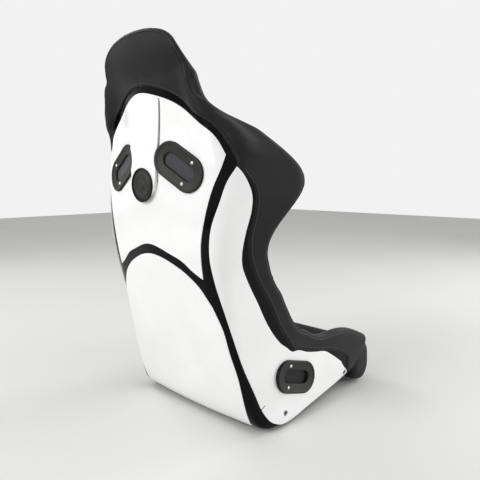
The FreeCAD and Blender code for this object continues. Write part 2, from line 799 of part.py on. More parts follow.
def make_crotch_bezel():
    """The crotch belt's bezel: a flange inside the shell with its collar down through the base."""
    flange = skin(inner_low, inner_top, *crotch_patch)
    outline = obround(crotch_slot, crotch_bezel_length, crotch_bezel_width, -reach_through, reach_through)
    flange = flange.common(outline)
    collar = obround(
        crotch_slot, crotch_slot_length + 2 * bezel_lip, slot_width + 2 * bezel_lip, inner_top, -gap
    )
    slot = obround(crotch_slot, crotch_slot_length, slot_width, -reach_through, reach_through)
    return largest(flange.fuse(collar).cut(slot))


def opening_for_bezel(frame, length, width):
    """The hole that a cushion or bolster leaves round an inner bezel."""
    return obround(frame, length + 4 * seam_gap, width + 4 * seam_gap, -2 * reach_through, -wall / 2)


def both_sides(name, shape):
    return {"left_" + name: shape, "right_" + name: mirrored(shape)}


nodes = {"shell": make_shell()}
nodes["upper_back_panel"] = make_upper_panel()
nodes["lower_back_panel"] = make_lower_panel()
nodes.update(both_sides("side_panel", make_side_panel()))
nodes.update(both_sides("shoulder_bezel", make_bezel(shoulder_slot, shoulder_patch)))
nodes.update(both_sides("lap_bezel", make_bezel(lap_slot, lap_patch)))
nodes.update(both_sides("shoulder_inner_bezel", make_inner_bezel(shoulder_slot, shoulder_patch)))
nodes.update(both_sides("lap_inner_bezel", make_inner_bezel(lap_slot, lap_patch)))
nodes["crotch_belt_bezel"] = make_crotch_bezel()
screws = [make_screw(frame, *place) for frame in (shoulder_slot, lap_slot) for place in screw_places]
nodes["bezel_screws"] = Part.makeCompound(screws + [mirrored(screw) for screw in screws])
nodes["badge_ring"] = make_badge_ring()
nodes["badge_disc"] = make_badge_disc()
inserts = [make_insert(frame) for frame in insert_frames]
nodes["mounting_inserts"] = Part.makeCompound(inserts + [mirrored(insert) for insert in inserts])
nodes["head_cover"] = make_head_cover()
nodes.update(both_sides("shoulder_cover", make_shoulder_cover()))
seam = seam_gap / 40
lap_opening = opening_for_bezel(lap_slot, inner_length, inner_width)
shoulder_bolster = make_bolster(rim_start, shoulder_seam - seam, bolster_pad)
nodes.update(both_sides("shoulder_bolster", shoulder_bolster))
waist_bolster = make_bolster(shoulder_seam + seam, waist_seam - seam, bolster_pad)
nodes.update(both_sides("waist_bolster", waist_bolster))
thigh = make_bolster(waist_seam + seam, nose_seam - seam, bolster_pad)
thigh = clear_of_inserts(largest(thigh.cut(lap_opening)))
nodes.update(both_sides("thigh_bolster", thigh))
nodes["nose_pad"] = make_nose_pad()
shoulder_opening = opening_for_bezel(shoulder_slot, inner_length, inner_width)
upper_pad = make_cushion(pad_start, upper_pad_end, lumbar_pad)
nodes["upper_back_pad"] = largest(upper_pad.cut(shoulder_opening).cut(mirrored(shoulder_opening)))
nodes["backrest_cushion"] = make_cushion(upper_pad_end + pad_spacing, backrest_end, back_cushion_pad)
nodes["lumbar_cushion"] = make_cushion(backrest_end + pad_spacing, lumbar_end, lumbar_pad)
seat = make_cushion(lumbar_end + pad_spacing, nose_seam - pad_spacing, seat_cushion_pad)
crotch_opening = opening_for_bezel(crotch_slot, crotch_bezel_length, crotch_bezel_width)
nodes["seat_cushion"] = largest(seat.cut(crotch_opening).cut(thigh).cut(mirrored(thigh)))

whole = Part.makeCompound(list(nodes.values()))
box = whole.BoundBox
origin_shift = V(0, -(box.YMin + box.YMax) / 2, -box.ZMin)
os.makedirs("parts", exist_ok=True)
for name, shape in nodes.items():
    shape.translate(origin_shift)
    shape.exportStep("parts/" + name + ".step")
print("origin shift", origin_shift, "box", box.XLength, box.YLength, box.ZLength)
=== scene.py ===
# Racing bucket seat: a gloss moulded shell with white outer panels, belt-slot bezels, a badge,
# side inserts and vinyl pads rolled over its rim. The mould is worked in millimetres and moved
# into the frame's metres when a piece is made.
import math

import bmesh
import bpy
import numpy as np
from mathutils import Matrix, Vector
from mathutils.bvhtree import BVHTree


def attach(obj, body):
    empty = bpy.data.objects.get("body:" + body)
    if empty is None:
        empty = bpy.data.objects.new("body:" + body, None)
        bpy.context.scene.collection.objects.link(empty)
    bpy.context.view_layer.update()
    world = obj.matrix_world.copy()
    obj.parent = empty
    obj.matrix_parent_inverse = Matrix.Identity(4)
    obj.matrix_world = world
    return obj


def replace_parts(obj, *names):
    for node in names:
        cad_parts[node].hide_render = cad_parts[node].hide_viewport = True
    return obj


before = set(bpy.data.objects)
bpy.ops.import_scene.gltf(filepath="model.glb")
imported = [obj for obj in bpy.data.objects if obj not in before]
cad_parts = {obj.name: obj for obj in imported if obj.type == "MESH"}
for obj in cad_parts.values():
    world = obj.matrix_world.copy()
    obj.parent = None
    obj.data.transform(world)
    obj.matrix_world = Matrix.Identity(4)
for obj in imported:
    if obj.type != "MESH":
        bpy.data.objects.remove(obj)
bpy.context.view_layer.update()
print("frame loaded:", len(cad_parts), "nodes")

# The mould's driving sizes in mm, the same as the part's
mouldTop, headHalf, neckHalf, backHalf, waistHalf = 950, 142, 162, 220, 194
hip, nose, shoulderRim, waistRim, noseRim = 230, 218, 278, 209, 223
shoulderZ, shoulderDepth, waistZ, waistDepth, hipDepth = 566, 222, 400, 136, 250
thighDepth, noseDepth, noseReach, noseRise, belly = 160, 40, 612, 74, 16
pivotY, pivotZ, midShare, wall = -480, 430, 0.62, 4.0
toOrigin = np.array([0, 311.963, 15.323])  # from the mould's origin to the frame's
stationRun = 52.0  # mm of form from one station to the next, about

# One row for each station: centre line y and z, back half width, fall at mid width, fall at the corner,
# corner softness, rim half width, rim depth, and the half width that stays flat
mouldRows = [
    (-3, mouldTop, headHalf - 2, 4, 6, 10, headHalf, 24, 40),
    (-2, mouldTop - 50, headHalf - 2, 4, 6, 10, headHalf, 24, 40),
    (-2, mouldTop - 105, headHalf - 1, 5, 8, 10, headHalf + 1, 26, 40),
    (-1, shoulderZ + 224, headHalf + 7, 11, 15, 18, headHalf + 9, 44, 30),
    (-2, shoulderZ + 174, neckHalf, 28, 26, 32, neckHalf + 12, 76, 18),
    (-5, shoulderZ + 129, neckHalf + 18, 30, 34, 46, neckHalf + 44, 112, 18),
    (-7, shoulderZ + 86, neckHalf + 38, 28, 36, 58, shoulderRim - 34, 156, 20),
    (-9, shoulderZ + 44, backHalf - 6, 22, 36, 64, shoulderRim - 6, 204, 25),
    (-10, shoulderZ, backHalf, 19, 36, 68, shoulderRim, shoulderDepth, 25),
    (-11, shoulderZ - 48, backHalf - 2, 16, 32, 68, shoulderRim - 16, 186, 25),
    (-15, waistZ + 60, backHalf - 11, 12, 24, 64, waistRim + 25, 142, 25),
    (-23, waistZ, waistHalf + 8, 10, 21, 60, waistRim + 11, waistDepth, 25),
    (-36, waistZ - 55, waistHalf + 3, 9, 19, 60, waistRim + 5, waistDepth + 16, 25),
    (-53, waistZ - 115, waistHalf, 8, 16, 54, waistRim + 1, waistDepth + 36, 30),
    (-71, waistZ - 178, waistHalf, 6, 13, 48, waistRim, hipDepth - 54, 40),
    (-90, 160, waistHalf + 4, 5, 10, 42, waistRim, hipDepth - 35, 50),
    (-109, 105, hip - 26, 4, 8, 36, waistRim + 1, hipDepth - 18, 60),
    (-127, 58, hip - 20, 3, 6, 30, waistRim + 2, hipDepth - 6, 60),
    (-143, 18, hip - 10, 3, 6, 24, waistRim + 3, hipDepth, 60),
    (-160, -6, hip - 4, 3, 6, 22, waistRim + 4, hipDepth - 4, 60),
    (-190, -belly + 3, hip, 3, 6, 22, waistRim + 6, hipDepth - 5, 60),
    (-232, -belly, hip + 1, 3, 6, 22, waistRim + 8, hipDepth - 26, 60),
    (-286, -belly, hip, 3, 6, 24, noseRim - 4, thighDepth + 39, 60),
    (-345, -belly + 5, hip - 4, 3, 6, 26, noseRim - 2, thighDepth + 18, 60),
    (-405, -4, hip - 9, 3, 6, 28, noseRim - 1, thighDepth + 7, 60),
    (-460, 4, nose + 1, 3, 6, 28, noseRim, thighDepth - 4, 60),
    (-noseReach + 102, 14, nose, 3, 6, 28, noseRim, thighDepth - 18, 60),
    (-noseReach + 57, 28, nose, 3, 6, 28, noseRim, noseDepth + 72, 60),
    (-noseReach + 22, noseRise - 26, nose, 3, 6, 28, noseRim, noseDepth + 36, 60),
    (-noseReach, noseRise, nose, 3, 5, 28, noseRim - 1, noseDepth, 60),
]
lastStation = len(mouldRows) - 3.0


def unit(vectors):
    return vectors / np.linalg.norm(vectors, axis=-1, keepdims=True)


def controlPoints(row):
    y, z, half, midFall, fall, soft, rimHalf, rimDepth, flat = row
    middle, corner, rim = np.array([(midShare * half, midFall), (half, fall), (rimHalf, rimDepth)], float)
    before = corner - unit(corner - middle) * soft
    after = corner + unit(rim - corner) * soft
    side = [(flat, 0), middle, before, corner, after, (after + rim) / 2, rim]
    forward = np.array([pivotY - y, pivotZ - z], float)
    if z >= pivotZ:
        forward = np.array([-1.0, 0.0])
    if y <= pivotY:
        forward = np.array([0.0, 1.0])
    forward = unit(forward)
    right = [(x, y + forward[0] * depth, z + forward[1] * depth) for x, depth in side]
    return [(-x, b, c) for x, b, c in reversed(right)] + right


mouldNet = np.array([controlPoints(row) for row in mouldRows])


def basis(count, t):  # clamped cubic weights, one row for each t from 0 to count - 3
    knots = np.concatenate(([0.0] * 3, np.arange(count - 2.0), [count - 3.0] * 3))
    t = np.clip(t, 0, count - 3 - 1e-9)[:, None]
    table = ((knots[:-1] <= t) & (t < knots[1:])).astype(float)
    for k in (1, 2, 3):
        span = knots[k:] - knots[:-k]
        share = np.where(span > 0, (t - knots[:-k]) / np.where(span > 0, span, 1), 0)
        fall = np.where(span > 0, 1 - share, 0)
        table = share[:, :-1] * table[:, :-1] + fall[:, 1:] * table[:, 1:]
    return table


def placeOn(station, v):
    down = basis(mouldNet.shape[0], station)
    across = basis(mouldNet.shape[1], v * (mouldNet.shape[1] - 3))
    rows = (down @ mouldNet.reshape(mouldNet.shape[0], -1)).reshape(len(station), mouldNet.shape[1], 3)
    return np.einsum("nj,njk->nk", across, rows)


def outwardAt(station, v, step=1e-4):
    down = placeOn(station + step * lastStation, v) - placeOn(station - step * lastStation, v)
    across = placeOn(station, np.minimum(v + step, 1)) - placeOn(station, np.maximum(v - step, 0))
    return unit(np.cross(across, down))


def onMould(station, v, offset=0.0):  # points of the form in mm, moved outward by offset
    station, v, offset = np.broadcast_arrays(np.asarray(station, float), v, offset)
    flatStation, flatV = station.ravel(), v.ravel()
    points = placeOn(flatStation, flatV) + outwardAt(flatStation, flatV) * offset.ravel()[:, None]
    return points.reshape(station.shape + (3,))


# How far the surface runs from the centre line, for every station, so that places can be given in mm
tableStations = np.linspace(0, lastStation, 541)
tableV = np.linspace(0.5, 1.0, 161)
tablePoints = np.array([placeOn(np.full(len(tableV), s), tableV) for s in tableStations])
runs = np.linalg.norm(np.diff(tablePoints, axis=1), axis=2)
reaches = np.concatenate((np.zeros((len(tableStations), 1)), np.cumsum(runs, axis=1)), axis=1)


def reachLine(station):
    place = np.clip(station / lastStation, 0, 1) * (len(tableStations) - 1)
    low = min(int(place), len(tableStations) - 2)
    return reaches[low] + (reaches[low + 1] - reaches[low]) * (place - low)


def vAtReach(station, reach):  # reach in mm from the centre line, negative on the right side
    station, reach = np.broadcast_arrays(np.asarray(station, float), reach)
    found = [np.interp(abs(r), reachLine(s), tableV) for s, r in zip(station.ravel(), reach.ravel())]
    v = np.array(found).reshape(station.shape)
    return np.where(reach < 0, 1 - v, v)


def rimReach(station):
    return np.array([reachLine(s)[-1] for s in station.ravel()]).reshape(station.shape)


def vBelowRim(station, distance):
    station = np.asarray(station, float)
    return vAtReach(station, rimReach(station) - distance)


# How far the finished wall ends inside the form's rim, and how far the cover swells over the corner
rimTrim = [(0, 27), (1.8, 27), (2.3, 37), (2.85, 48), (3.35, 47), (3.65, 37), (3.95, 17), (4.3, 0),
           (10.5, 0), (11.5, 9), (12.3, 14), (13.0, 15), (13.8, 20), (15.0, 23), (16.0, 20), (16.9, 9),
           (17.6, 0), (28, 0)]
cornerSwell = [(0, 0), (1.5, 0), (1.8, 6), (2.1, 10), (2.3, 12), (3.0, 15), (4.2, 18), (5.1, 18), (5.4, 12),
               (5.8, 3), (6.3, 0), (28, 0)]


def rimV(station, inside=0.0):
    return vBelowRim(station, np.interp(station, *np.array(rimTrim, float).T) + inside)


def smoothRead(table, x):  # a smooth curve through the entries of a table, read at x
    xs, ys = np.array(table, float).T
    slopes = np.gradient(ys, xs)
    x = np.clip(np.asarray(x, float), xs[0], xs[-1])
    i = np.clip(np.searchsorted(xs, x) - 1, 0, len(xs) - 2)
    h = xs[i + 1] - xs[i]
    t = (x - xs[i]) / h
    start = ys[i] * (2 * t**3 - 3 * t**2 + 1) + slopes[i] * h * (t**3 - 2 * t**2 + t)
    return start + ys[i + 1] * (3 * t**2 - 2 * t**3) + slopes[i + 1] * h * (t**3 - t**2)


def bothWays(table):  # a table of (mm from the centre line, station) opened out to both sides
    return [(-a, b) for a, b in reversed(table) if a > 0] + table


# Materials


def linear(colour):
    parts = [int(colour[i:i + 2], 16) / 255 for i in (1, 3, 5)]
    return [p / 12.92 if p <= 0.04045 else ((p + 0.055) / 1.055) ** 2.4 for p in parts] + [1.0]


def addNode(tree, kind, settings={}, links={}):
    node = tree.nodes.new(kind)
    for name, value in settings.items():
        if name in node.inputs:
            node.inputs[name].default_value = value
        else:
            setattr(node, name, value)
    for name, source in links.items():
        tree.links.new(source, node.inputs[name])
    return node


def startMaterial(name, shader):
    material = bpy.data.materials.new(name)
    material.use_nodes = True
    tree = material.node_tree
    surface = tree.nodes["Principled BSDF"]
    for socket, value in shader.items():
        surface.inputs[socket].default_value = value
    place = addNode(tree, "ShaderNodeTexCoord").outputs["Object"]
    return material, tree, surface, place


def tint(tree, surface, factor, dark, light):
    ramp = addNode(tree, "ShaderNodeValToRGB", {}, {"Fac": factor})
    for i, (place, colour) in enumerate([(0.3, dark), (0.7, light)]):
        ramp.color_ramp.elements[i].position = place
        ramp.color_ramp.elements[i].color = linear(colour)
    tree.links.new(ramp.outputs["Color"], surface.inputs["Base Color"])


def relief(tree, surface, height, depth, strength):
    settings = {"Distance": depth / 1000, "Strength": strength}
    bump = addNode(tree, "ShaderNodeBump", settings, {"Height": height})
    tree.links.new(bump.outputs["Normal"], surface.inputs["Normal"])


def noise(tree, place, size, detail):  # size in mm
    scale = {"Scale": 1000 / size, "Detail": detail}
    return addNode(tree, "ShaderNodeTexNoise", scale, {"Vector": place}).outputs["Fac"]


def spread(tree, value, low, high):
    ends = {"To Min": low, "To Max": high}
    return addNode(tree, "ShaderNodeMapRange", ends, {"Value": value}).outputs["Result"]


def larger(tree, first, second):
    node = addNode(tree, "ShaderNodeMath", {"operation": "MAXIMUM"})
    tree.links.new(first, node.inputs[0])
    tree.links.new(second, node.inputs[1])
    return node.outputs["Value"]


# Each finish has its patches and its grain as (mm, detail), its roughness, and its relief as (mm, strength)
finishes = {
    # sprayed into a polished mould: deep gloss, a faint orange peel
    "gelcoat": {"patches": (120, 3), "grain": (6, 1), "rough": (0.07, 0.16), "relief": (0.03, 0.25)},
    # calendered PVC: an embossed leather grain under a satin lacquer
    "vinyl": {"patches": (70, 4), "leather": 1.6, "rough": (0.42, 0.6), "relief": (0.25, 0.35)},
    # ABS from a spark-eroded tool: a fine satin texture
    "plastic": {"patches": (25, 3), "grain": (0.9, 2), "rough": (0.4, 0.6), "relief": (0.06, 0.4)},
    # zinc-plated and turned: fine marks in the shine
    "steel": {"patches": (0.8, 2), "grain": (0.8, 2), "rough": (0.18, 0.34), "relief": (0.02, 0.3)},
    # twisted polyester: a soft shine along each stitch
    "thread": {"patches": (0.5, 1), "grain": (0.5, 1), "relief": (0.1, 0.4)},
}


def finished(finish, name, dark, light, shader):
    look = finishes[finish]
    material, tree, surface, place = startMaterial(name, shader)
    patches = noise(tree, place, *look["patches"])
    if "leather" in look:
        cells = {"Scale": 1000 / look["leather"], "feature": "SMOOTH_F1"}
        grain = addNode(tree, "ShaderNodeTexVoronoi", cells, {"Vector": place}).outputs["Distance"]
    else:
        grain = noise(tree, place, *look["grain"])
    tint(tree, surface, patches, dark, light)
    if "rough" in look:
        rough = spread(tree, patches if finish == "gelcoat" else grain, *look["rough"])
        tree.links.new(rough, surface.inputs["Roughness"])
    relief(tree, surface, grain, *look["relief"])
    return material


def wovenFabric(name, dark, light, shader):  # plain weave drawn at 2 mm, twice the real thread, to show
    material, tree, surface, place = startMaterial(name, shader)
    waves = []
    for turn in (45, -45):
        tilt = {"Rotation": (0.4, 0.3, math.radians(turn))}
        aim = addNode(tree, "ShaderNodeMapping", tilt, {"Vector": place}).outputs["Vector"]
        wave = {"Scale": 1000 / 2 / (2 * math.pi), "Distortion": 0.4}
        waves.append(addNode(tree, "ShaderNodeTexWave", wave, {"Vector": aim}).outputs["Fac"])
    weave = larger(tree, *waves)
    tint(tree, surface, weave, dark, light)
    relief(tree, surface, weave, 0.4, 0.5)
    return material


def shine(specular):
    return {"IOR": 1.5, "Specular IOR Level": specular}


glassy = {"IOR": 1.5, "Coat Weight": 0.3, "Coat Roughness": 0.05}
vinylShine = {**shine(0.16), "Sheen Weight": 0.02}
threadShine = {"Roughness": 0.6, "Specular IOR Level": 0.2}
metal = {"Metallic": 1.0}
blackGelcoat = finished("gelcoat", "blackGelcoat", "#040405", "#08080a", {**shine(0.14), "IOR": 1.42})
whiteGelcoat = finished("gelcoat", "whiteGelcoat", "#f0f0f0", "#f6f6f6", glassy)
blackVinyl = finished("vinyl", "blackVinyl", "#18181a", "#202022", vinylShine)
seatFabric = wovenFabric("seatFabric", "#222225", "#3c3c41", {"Roughness": 0.9, "Sheen Weight": 0.3})
satinPlastic = finished("plastic", "satinPlastic", "#1f1f1d", "#282825", shine(0.25))
blackPlastic = finished("plastic", "blackPlastic", "#080809", "#101010", shine(0.2))
brightSteel = finished("steel", "brightSteel", "#b9b9bb", "#e2e2e2", metal)
zincSteel = finished("steel", "zincSteel", "#85878c", "#a8abb0", metal)
greyThread = finished("thread", "greyThread", "#56575b", "#66676b", threadShine)
print("materials made:", len(bpy.data.materials))

# Making pieces


def toFrame(points):
    return (np.asarray(points, float) + toOrigin) / 1000


def makeMesh(name, points, faces):
    mesh = bpy.data.meshes.new(name)
    mesh.from_pydata(toFrame(points).tolist(), [], faces)
    tidyMesh(mesh)
    return placed(bpy.data.objects.new(name, mesh))


def placed(thing):
    bpy.context.scene.collection.objects.link(thing)
    return thing


def makePiece(name, points, faces, material):
    piece = makeMesh(name, points, faces)
    piece.data.materials.append(material)
    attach(piece, "root")
    return piece


def tidyMesh(mesh):  # doubled points joined, faces outward and smooth
    work = bmesh.new()
    work.from_mesh(mesh)
    bmesh.ops.remove_doubles(work, verts=work.verts, dist=1e-6)
    bmesh.ops.recalc_face_normals(work, faces=work.faces)
    for face in work.faces:
        face.smooth = True
    work.to_mesh(mesh)
    work.free()


def loft(loops, ring=False):  # closed loops of as many points, joined in turn, and capped or closed to a ring
    count, width = len(loops), len(loops[0])
    faces = []
    for i in range(count if ring else count - 1):
        a, b = i * width, (i + 1) % count * width
        faces += [(a + j, a + (j + 1) % width, b + (j + 1) % width, b + j) for j in range(width)]
    if not ring:
        faces += [list(range(width)), list(range((count - 1) * width, count * width))]
    return np.concatenate(loops), faces


def solidFaces(rows, width):  # two grids of rows by width points, one over the other, and their edge walls
    grid = np.arange(2 * rows * width).reshape(2, rows, width)
    quads = np.stack([grid[:, :-1, :-1], grid[:, :-1, 1:], grid[:, 1:, 1:], grid[:, 1:, :-1]], axis=-1)
    border = [np.concatenate([g[0], g[1:, -1], g[-1, -2::-1], g[-2:0:-1, 0]]) for g in grid]
    walls = np.stack([border[0], np.roll(border[0], -1), np.roll(border[1], -1), border[1]], axis=1)
    return quads.transpose(1, 2, 0, 3).reshape(-1, 4).tolist() + walls.tolist()


def modify(piece, kind, **settings):
    modifier = piece.modifiers.new(kind, kind)
    for name, value in settings.items():
        setattr(modifier, name, value)
    return modifier


def applyAll(piece):
    bpy.context.view_layer.update()
    shaped = piece.evaluated_get(bpy.context.evaluated_depsgraph_get())
    mesh = bpy.data.meshes.new_from_object(shaped)
    piece.modifiers.clear()
    piece.data = mesh
    mesh.polygons.foreach_set("use_smooth", [True] * len(mesh.polygons))


def joined(solids):
    points, faces = [], []
    for solid, solidFaceList in solids:
        faces += [[i + len(points) for i in face] for face in solidFaceList]
        points += list(solid)
    return np.array(points), faces


def cutBy(piece, solids):  # solids: (points, faces) of each cutter
    cutter = makeMesh("cutter", *joined(solids))
    modify(piece, "BOOLEAN", object=cutter, operation="DIFFERENCE", solver="EXACT")
    applyAll(piece)
    bpy.data.objects.remove(cutter)


def mirroredPiece(piece, name):
    mesh = piece.data.copy()
    mesh.name = name
    mesh.transform(Matrix.Scale(-1, 4, (1, 0, 0)))
    mesh.flip_normals()
    return placed(bpy.data.objects.new(name, mesh))


def flipX(points):
    return np.asarray(points) * np.array([-1, 1, 1])


def frameAt(place, along):  # origin on the form, outward, long and short directions, by ever finer grids
    station, v, reach, spread = lastStation / 2, 0.75, lastStation / 2, 0.25
    for _ in range(9):
        stations = np.clip(np.linspace(station - reach, station + reach, 25), 0.01, lastStation - 0.01)
        sides = np.clip(np.linspace(v - spread, v + spread, 25), 0.5, 0.999)
        misses = np.linalg.norm(onMould(stations[:, None], sides[None, :]) - np.array(place), axis=2)
        i, j = np.unravel_index(misses.argmin(), misses.shape)
        station, v, reach, spread = stations[i], sides[j], reach / 4, spread / 4
    out = outwardAt(np.array([station]), np.array([v]))[0]
    longWay = unit(np.array(along) - out * np.dot(along, out))
    return onMould(station, v), out, longWay, np.cross(out, longWay), (station, v)


def pathPoints(length, width, grow, count=64):  # an obround outline, as (along, across) in mm
    radius = width / 2 + grow
    straight = max(length - width, 0) / 2
    angles = (np.arange(count) + 0.5) * 2 * math.pi / count
    along = np.sin(angles) * radius + np.where(np.sin(angles) > 0, straight, -straight)
    return along, np.cos(angles) * radius


def standing(slotFrame, along, across, height):
    origin, out, longWay, shortWay = slotFrame[:4]
    along, across, height = np.broadcast_arrays(along, across, height)
    return origin + along[..., None] * longWay + across[..., None] * shortWay + height[..., None] * out


def groundUnder(slotFrame):  # the form's height over a slot frame, as a smooth function of along and across
    station, v = slotFrame[4]
    stations = np.clip(np.linspace(station - 3, station + 3, 25), 0, lastStation)[:, None]
    points = onMould(stations, np.clip(np.linspace(v - 0.14, v + 0.14, 25), 0, 1)[None, :]).reshape(-1, 3)
    offset = points - slotFrame[0]
    along, across, height = offset @ slotFrame[2], offset @ slotFrame[3], offset @ slotFrame[1]
    near = (abs(along) < 95) & (abs(across) < 65)

    def terms(a, b):
        a, b = np.asarray(a) / 50, np.asarray(b) / 50
        return np.stack([a**i * b**j for i in range(5) for j in range(5 - i)], axis=-1)

    fit = np.linalg.lstsq(terms(along[near], across[near]), height[near], rcond=None)[0]
    return lambda a, b: terms(a, b) @ fit


def blockThrough(slotFrame, length, width, low, high):
    along, across = pathPoints(length, width, 0, 48)
    return loft([standing(slotFrame, along, across, h) for h in (low, high)])


def bothSides(solids):
    return solids + [(flipX(points), faces) for points, faces in solids]


def turned(slotFrame, along, across, profile, count=32, hexAt=(), ring=False):  # of (radius, height)
    angles = np.arange(count) * 2 * math.pi / count
    loops = []
    for i, (radius, height) in enumerate(profile):
        flat = np.cos(math.pi / 6) / np.cos((angles % (math.pi / 3)) - math.pi / 6) if i in hexAt else 1.0
        rim = radius * flat
        loops.append(standing(slotFrame, along + rim * np.cos(angles), across + rim * np.sin(angles), height))
    return loft(loops, ring)


# Places on the seat that several pieces share
slotLength, slotWidth, slotLip, slotGap = 94, 32, 2.5, 0.3
shoulderTilt, lapTilt, crotchLength, insertHole = math.radians(30), math.radians(16), 76, 7.3
shoulderSlot = frameAt((106, -23, 603.5), (math.cos(shoulderTilt), 0, -math.sin(shoulderTilt)))
lapSlot = frameAt((waistRim + 8, -285, 94), (0, math.cos(lapTilt), math.sin(lapTilt)))
crotchSlot = frameAt((0, -395, 0), (1, 0, 0))
badgeSpot = frameAt((0, 0, 564), (1, 0, 0))
insertSpots = [frameAt(place, (0, 1, 0)) for place in ((hip, -239, 19), (nose, -512, 41))]
badgeSeat, badgeRadius, badgeCount = 7.8, 38.5, 72
# The bezels' widths round their slots, and their heights over the form
bezelBorder, bezelRim, innerBorder, crotchBorder, bezelCount = 24.0, 7.2, 20.0, 16.0, 72
bezelTop, bezelFace, bezelFoot, innerLow, innerTop, collarEnd = 7.6, 5.1, 2.6, -4.3, -7.8, -7.8


def slotCut(slotFrame, length):
    size = 2 * slotLip + 2 * slotGap
    return blockThrough(slotFrame, length + size, slotWidth + size, -60, 60)


def holeCut(slotFrame):
    return turned(slotFrame, 0, 0, [(insertHole, -30), (insertHole, 30)])


# The shell: one moulded wall, open at the belt slots and the inserts
def makeShell():
    rows, columns = 190, 150
    stations = np.linspace(1.6, lastStation, rows)[:, None]
    spread = 2 * rimV(stations) - 1
    sides = 0.5 + spread * np.linspace(-0.5, 0.5, columns)[None, :]
    points = np.concatenate([onMould(stations, sides, h).reshape(-1, 3) for h in (0, -wall)])
    piece = makePiece("mouldedShell", points, solidFaces(rows, columns), blackGelcoat)
    cuts = []
    for spot in (shoulderSlot, lapSlot):
        cuts += bothSides([slotCut(spot, slotLength)])
    for spot in insertSpots:
        cuts += bothSides([holeCut(spot)])
    cuts.append(slotCut(crotchSlot, crotchLength))
    cutBy(piece, cuts)
    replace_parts(piece, "shell")


makeShell()

# The white outer panels, laid on the form between their edge curves. Tables hold (station, mm from
# the centre line) or (mm, station), and run as the panel's edges do.
panelLow, panelHigh, panelEdge = 0.3, 2.3, 0.7
panels = {
    "upperTop": [(0, 2.5), (52, 2.7), (100, 3.1), (157, 4.0), (204, 5.0), (219, 5.6)],
    "upperSide": [(5.6, 219), (6.1, 213), (7.2, 193), (8.4, 175), (9.3, 163), (10.7, 156)],
    "upperFoot": [(0, 9.5), (66, 9.8), (107, 10.1), (129, 10.4), (156, 10.7)],
    "lowerTop": [(0, 9.9), (69, 10.2), (118, 10.7), (142, 11.1), (166, 11.8)],
    "lowerSide": [(11.8, 166), (12.6, 180), (13.6, 187), (14.6, 195), (15.8, 197), (17.7, 196)],
    "lowerFoot": [(0, 17.8), (100, 17.8), (196, 17.7)],
    "sideRear": [(6.15, 243), (6.7, 227), (7.8, 208), (8.8, 189), (9.6, 182), (10.7, 183), (12.2, 192),
                 (14.1, 209), (16.5, 237), (17.9, 245), (18.7, 240), (19.9, 230), (21.5, 234), (23.0, 226),
                 (25.5, 220)],
    "sideFront": [(6.15, 143), (6.9, 130), (7.7, 101), (8.3, 79), (9.0, 62), (10.5, 62), (12.2, 69),
                  (13.6, 79), (15.7, 75), (17.0, 57), (18.5, 43), (20.0, 36), (21.5, 29), (22.4, 31),
                  (23.6, 54), (24.6, 79)],
}
# The upholstery: the cover's skin and its lift off the form, its swell, overhang and padding at the rim, and
# where it ends inside. Its hem's tables are like the panels'.
skin, lift, swell, overhang, pad, innerV = 4.0, 0.6, 7.0, 15.0, 26.0, 0.8
coverTop = lift + skin
hems = {
    "rear": [(0, 2.25), (52, 2.4), (104, 2.8), (163, 3.7), (212, 4.7), (232, 5.4), (250, 6.1)],
    "side": [(2.3, 60), (6.2, 140), (7.8, 89), (8.6, 60), (9.3, 45), (12.1, 42), (15.2, 55), (16.8, 46),
                (18.7, 39), (21.0, 27), (22.5, 29), (24.7, 56), (25.9, 82)],
}


def filled(top, foot, left, right):  # a grid of (station, v) between four edge curves that meet at corners
    n, k = len(left), len(top)
    a = np.linspace(0, 1, n)[:, None, None]
    b = np.linspace(0, 1, k)[None, :, None]
    ruled = (1 - a) * top[None] + a * foot[None] + (1 - b) * left[:, None] + b * right[:, None]
    corners = (1 - a) * ((1 - b) * top[0] + b * top[-1]) + a * ((1 - b) * foot[0] + b * foot[-1])
    return ruled - corners


def laidPanel(name, grid, node, high=panelHigh, low=panelLow):
    stations, sides = grid[..., 0], grid[..., 1]
    points = np.concatenate([onMould(stations, sides, height).reshape(-1, 3) for height in (high, low)])
    piece = makePiece(name, points, solidFaces(*stations.shape), whiteGelcoat)
    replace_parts(piece, node)
    return piece


def softEdges(piece, width):
    modify(piece, "BEVEL", width=width / 1000, segments=3, limit_method="ANGLE", angle_limit=math.radians(40))
    modify(piece, "WEIGHTED_NORMAL", keep_sharp=True)


def backGrid(top, foot, side, rows, columns):
    reach = np.linspace(-top[-1][0], top[-1][0], columns)
    footReach = np.linspace(-foot[-1][0], foot[-1][0], columns)
    topStation = smoothRead(bothWays(top), reach)
    footStation = smoothRead(bothWays(foot), footReach)
    stations = np.linspace(side[0][0], side[-1][0], rows)
    sideReach = smoothRead(side, stations)
    edge = np.stack([stations, vAtReach(stations, sideReach)], axis=1)
    return filled(
        np.stack([topStation, vAtReach(topStation, reach)], axis=1),
        np.stack([footStation, vAtReach(footStation, footReach)], axis=1),
        edge * np.array([1, -1]) + np.array([0, 1]), edge,
    )


ridge = {
    "low": 3.0, "high": 8.0, "topHalf": 56, "footHalf": 43, "topStation": 2.62, "edge": 1.2, "footDrop": 34,
    "shadowGrooveIn": 1.0, "shadowGrooveOut": 2.0,
}


def shadowGrooveSolid():  # a slot cut through the upper panel along one side of the ridge, showing the black shell below as a dark line: painted shade along the ridge's flank
    stations = np.linspace(2.8, badgeSpot[4][0] - 0.1, 50)
    half = np.interp(stations, [2.92, badgeSpot[4][0] - 0.08], [ridge["topHalf"], ridge["footHalf"]])
    inside, outside = half - ridge["shadowGrooveIn"], half + ridge["shadowGrooveOut"]
    corners = [(inside, -0.2), (outside, -0.2), (outside, 6), (inside, 6)]
    return loft(np.stack([onMould(stations, vAtReach(stations, r), h) for r, h in corners], axis=1))


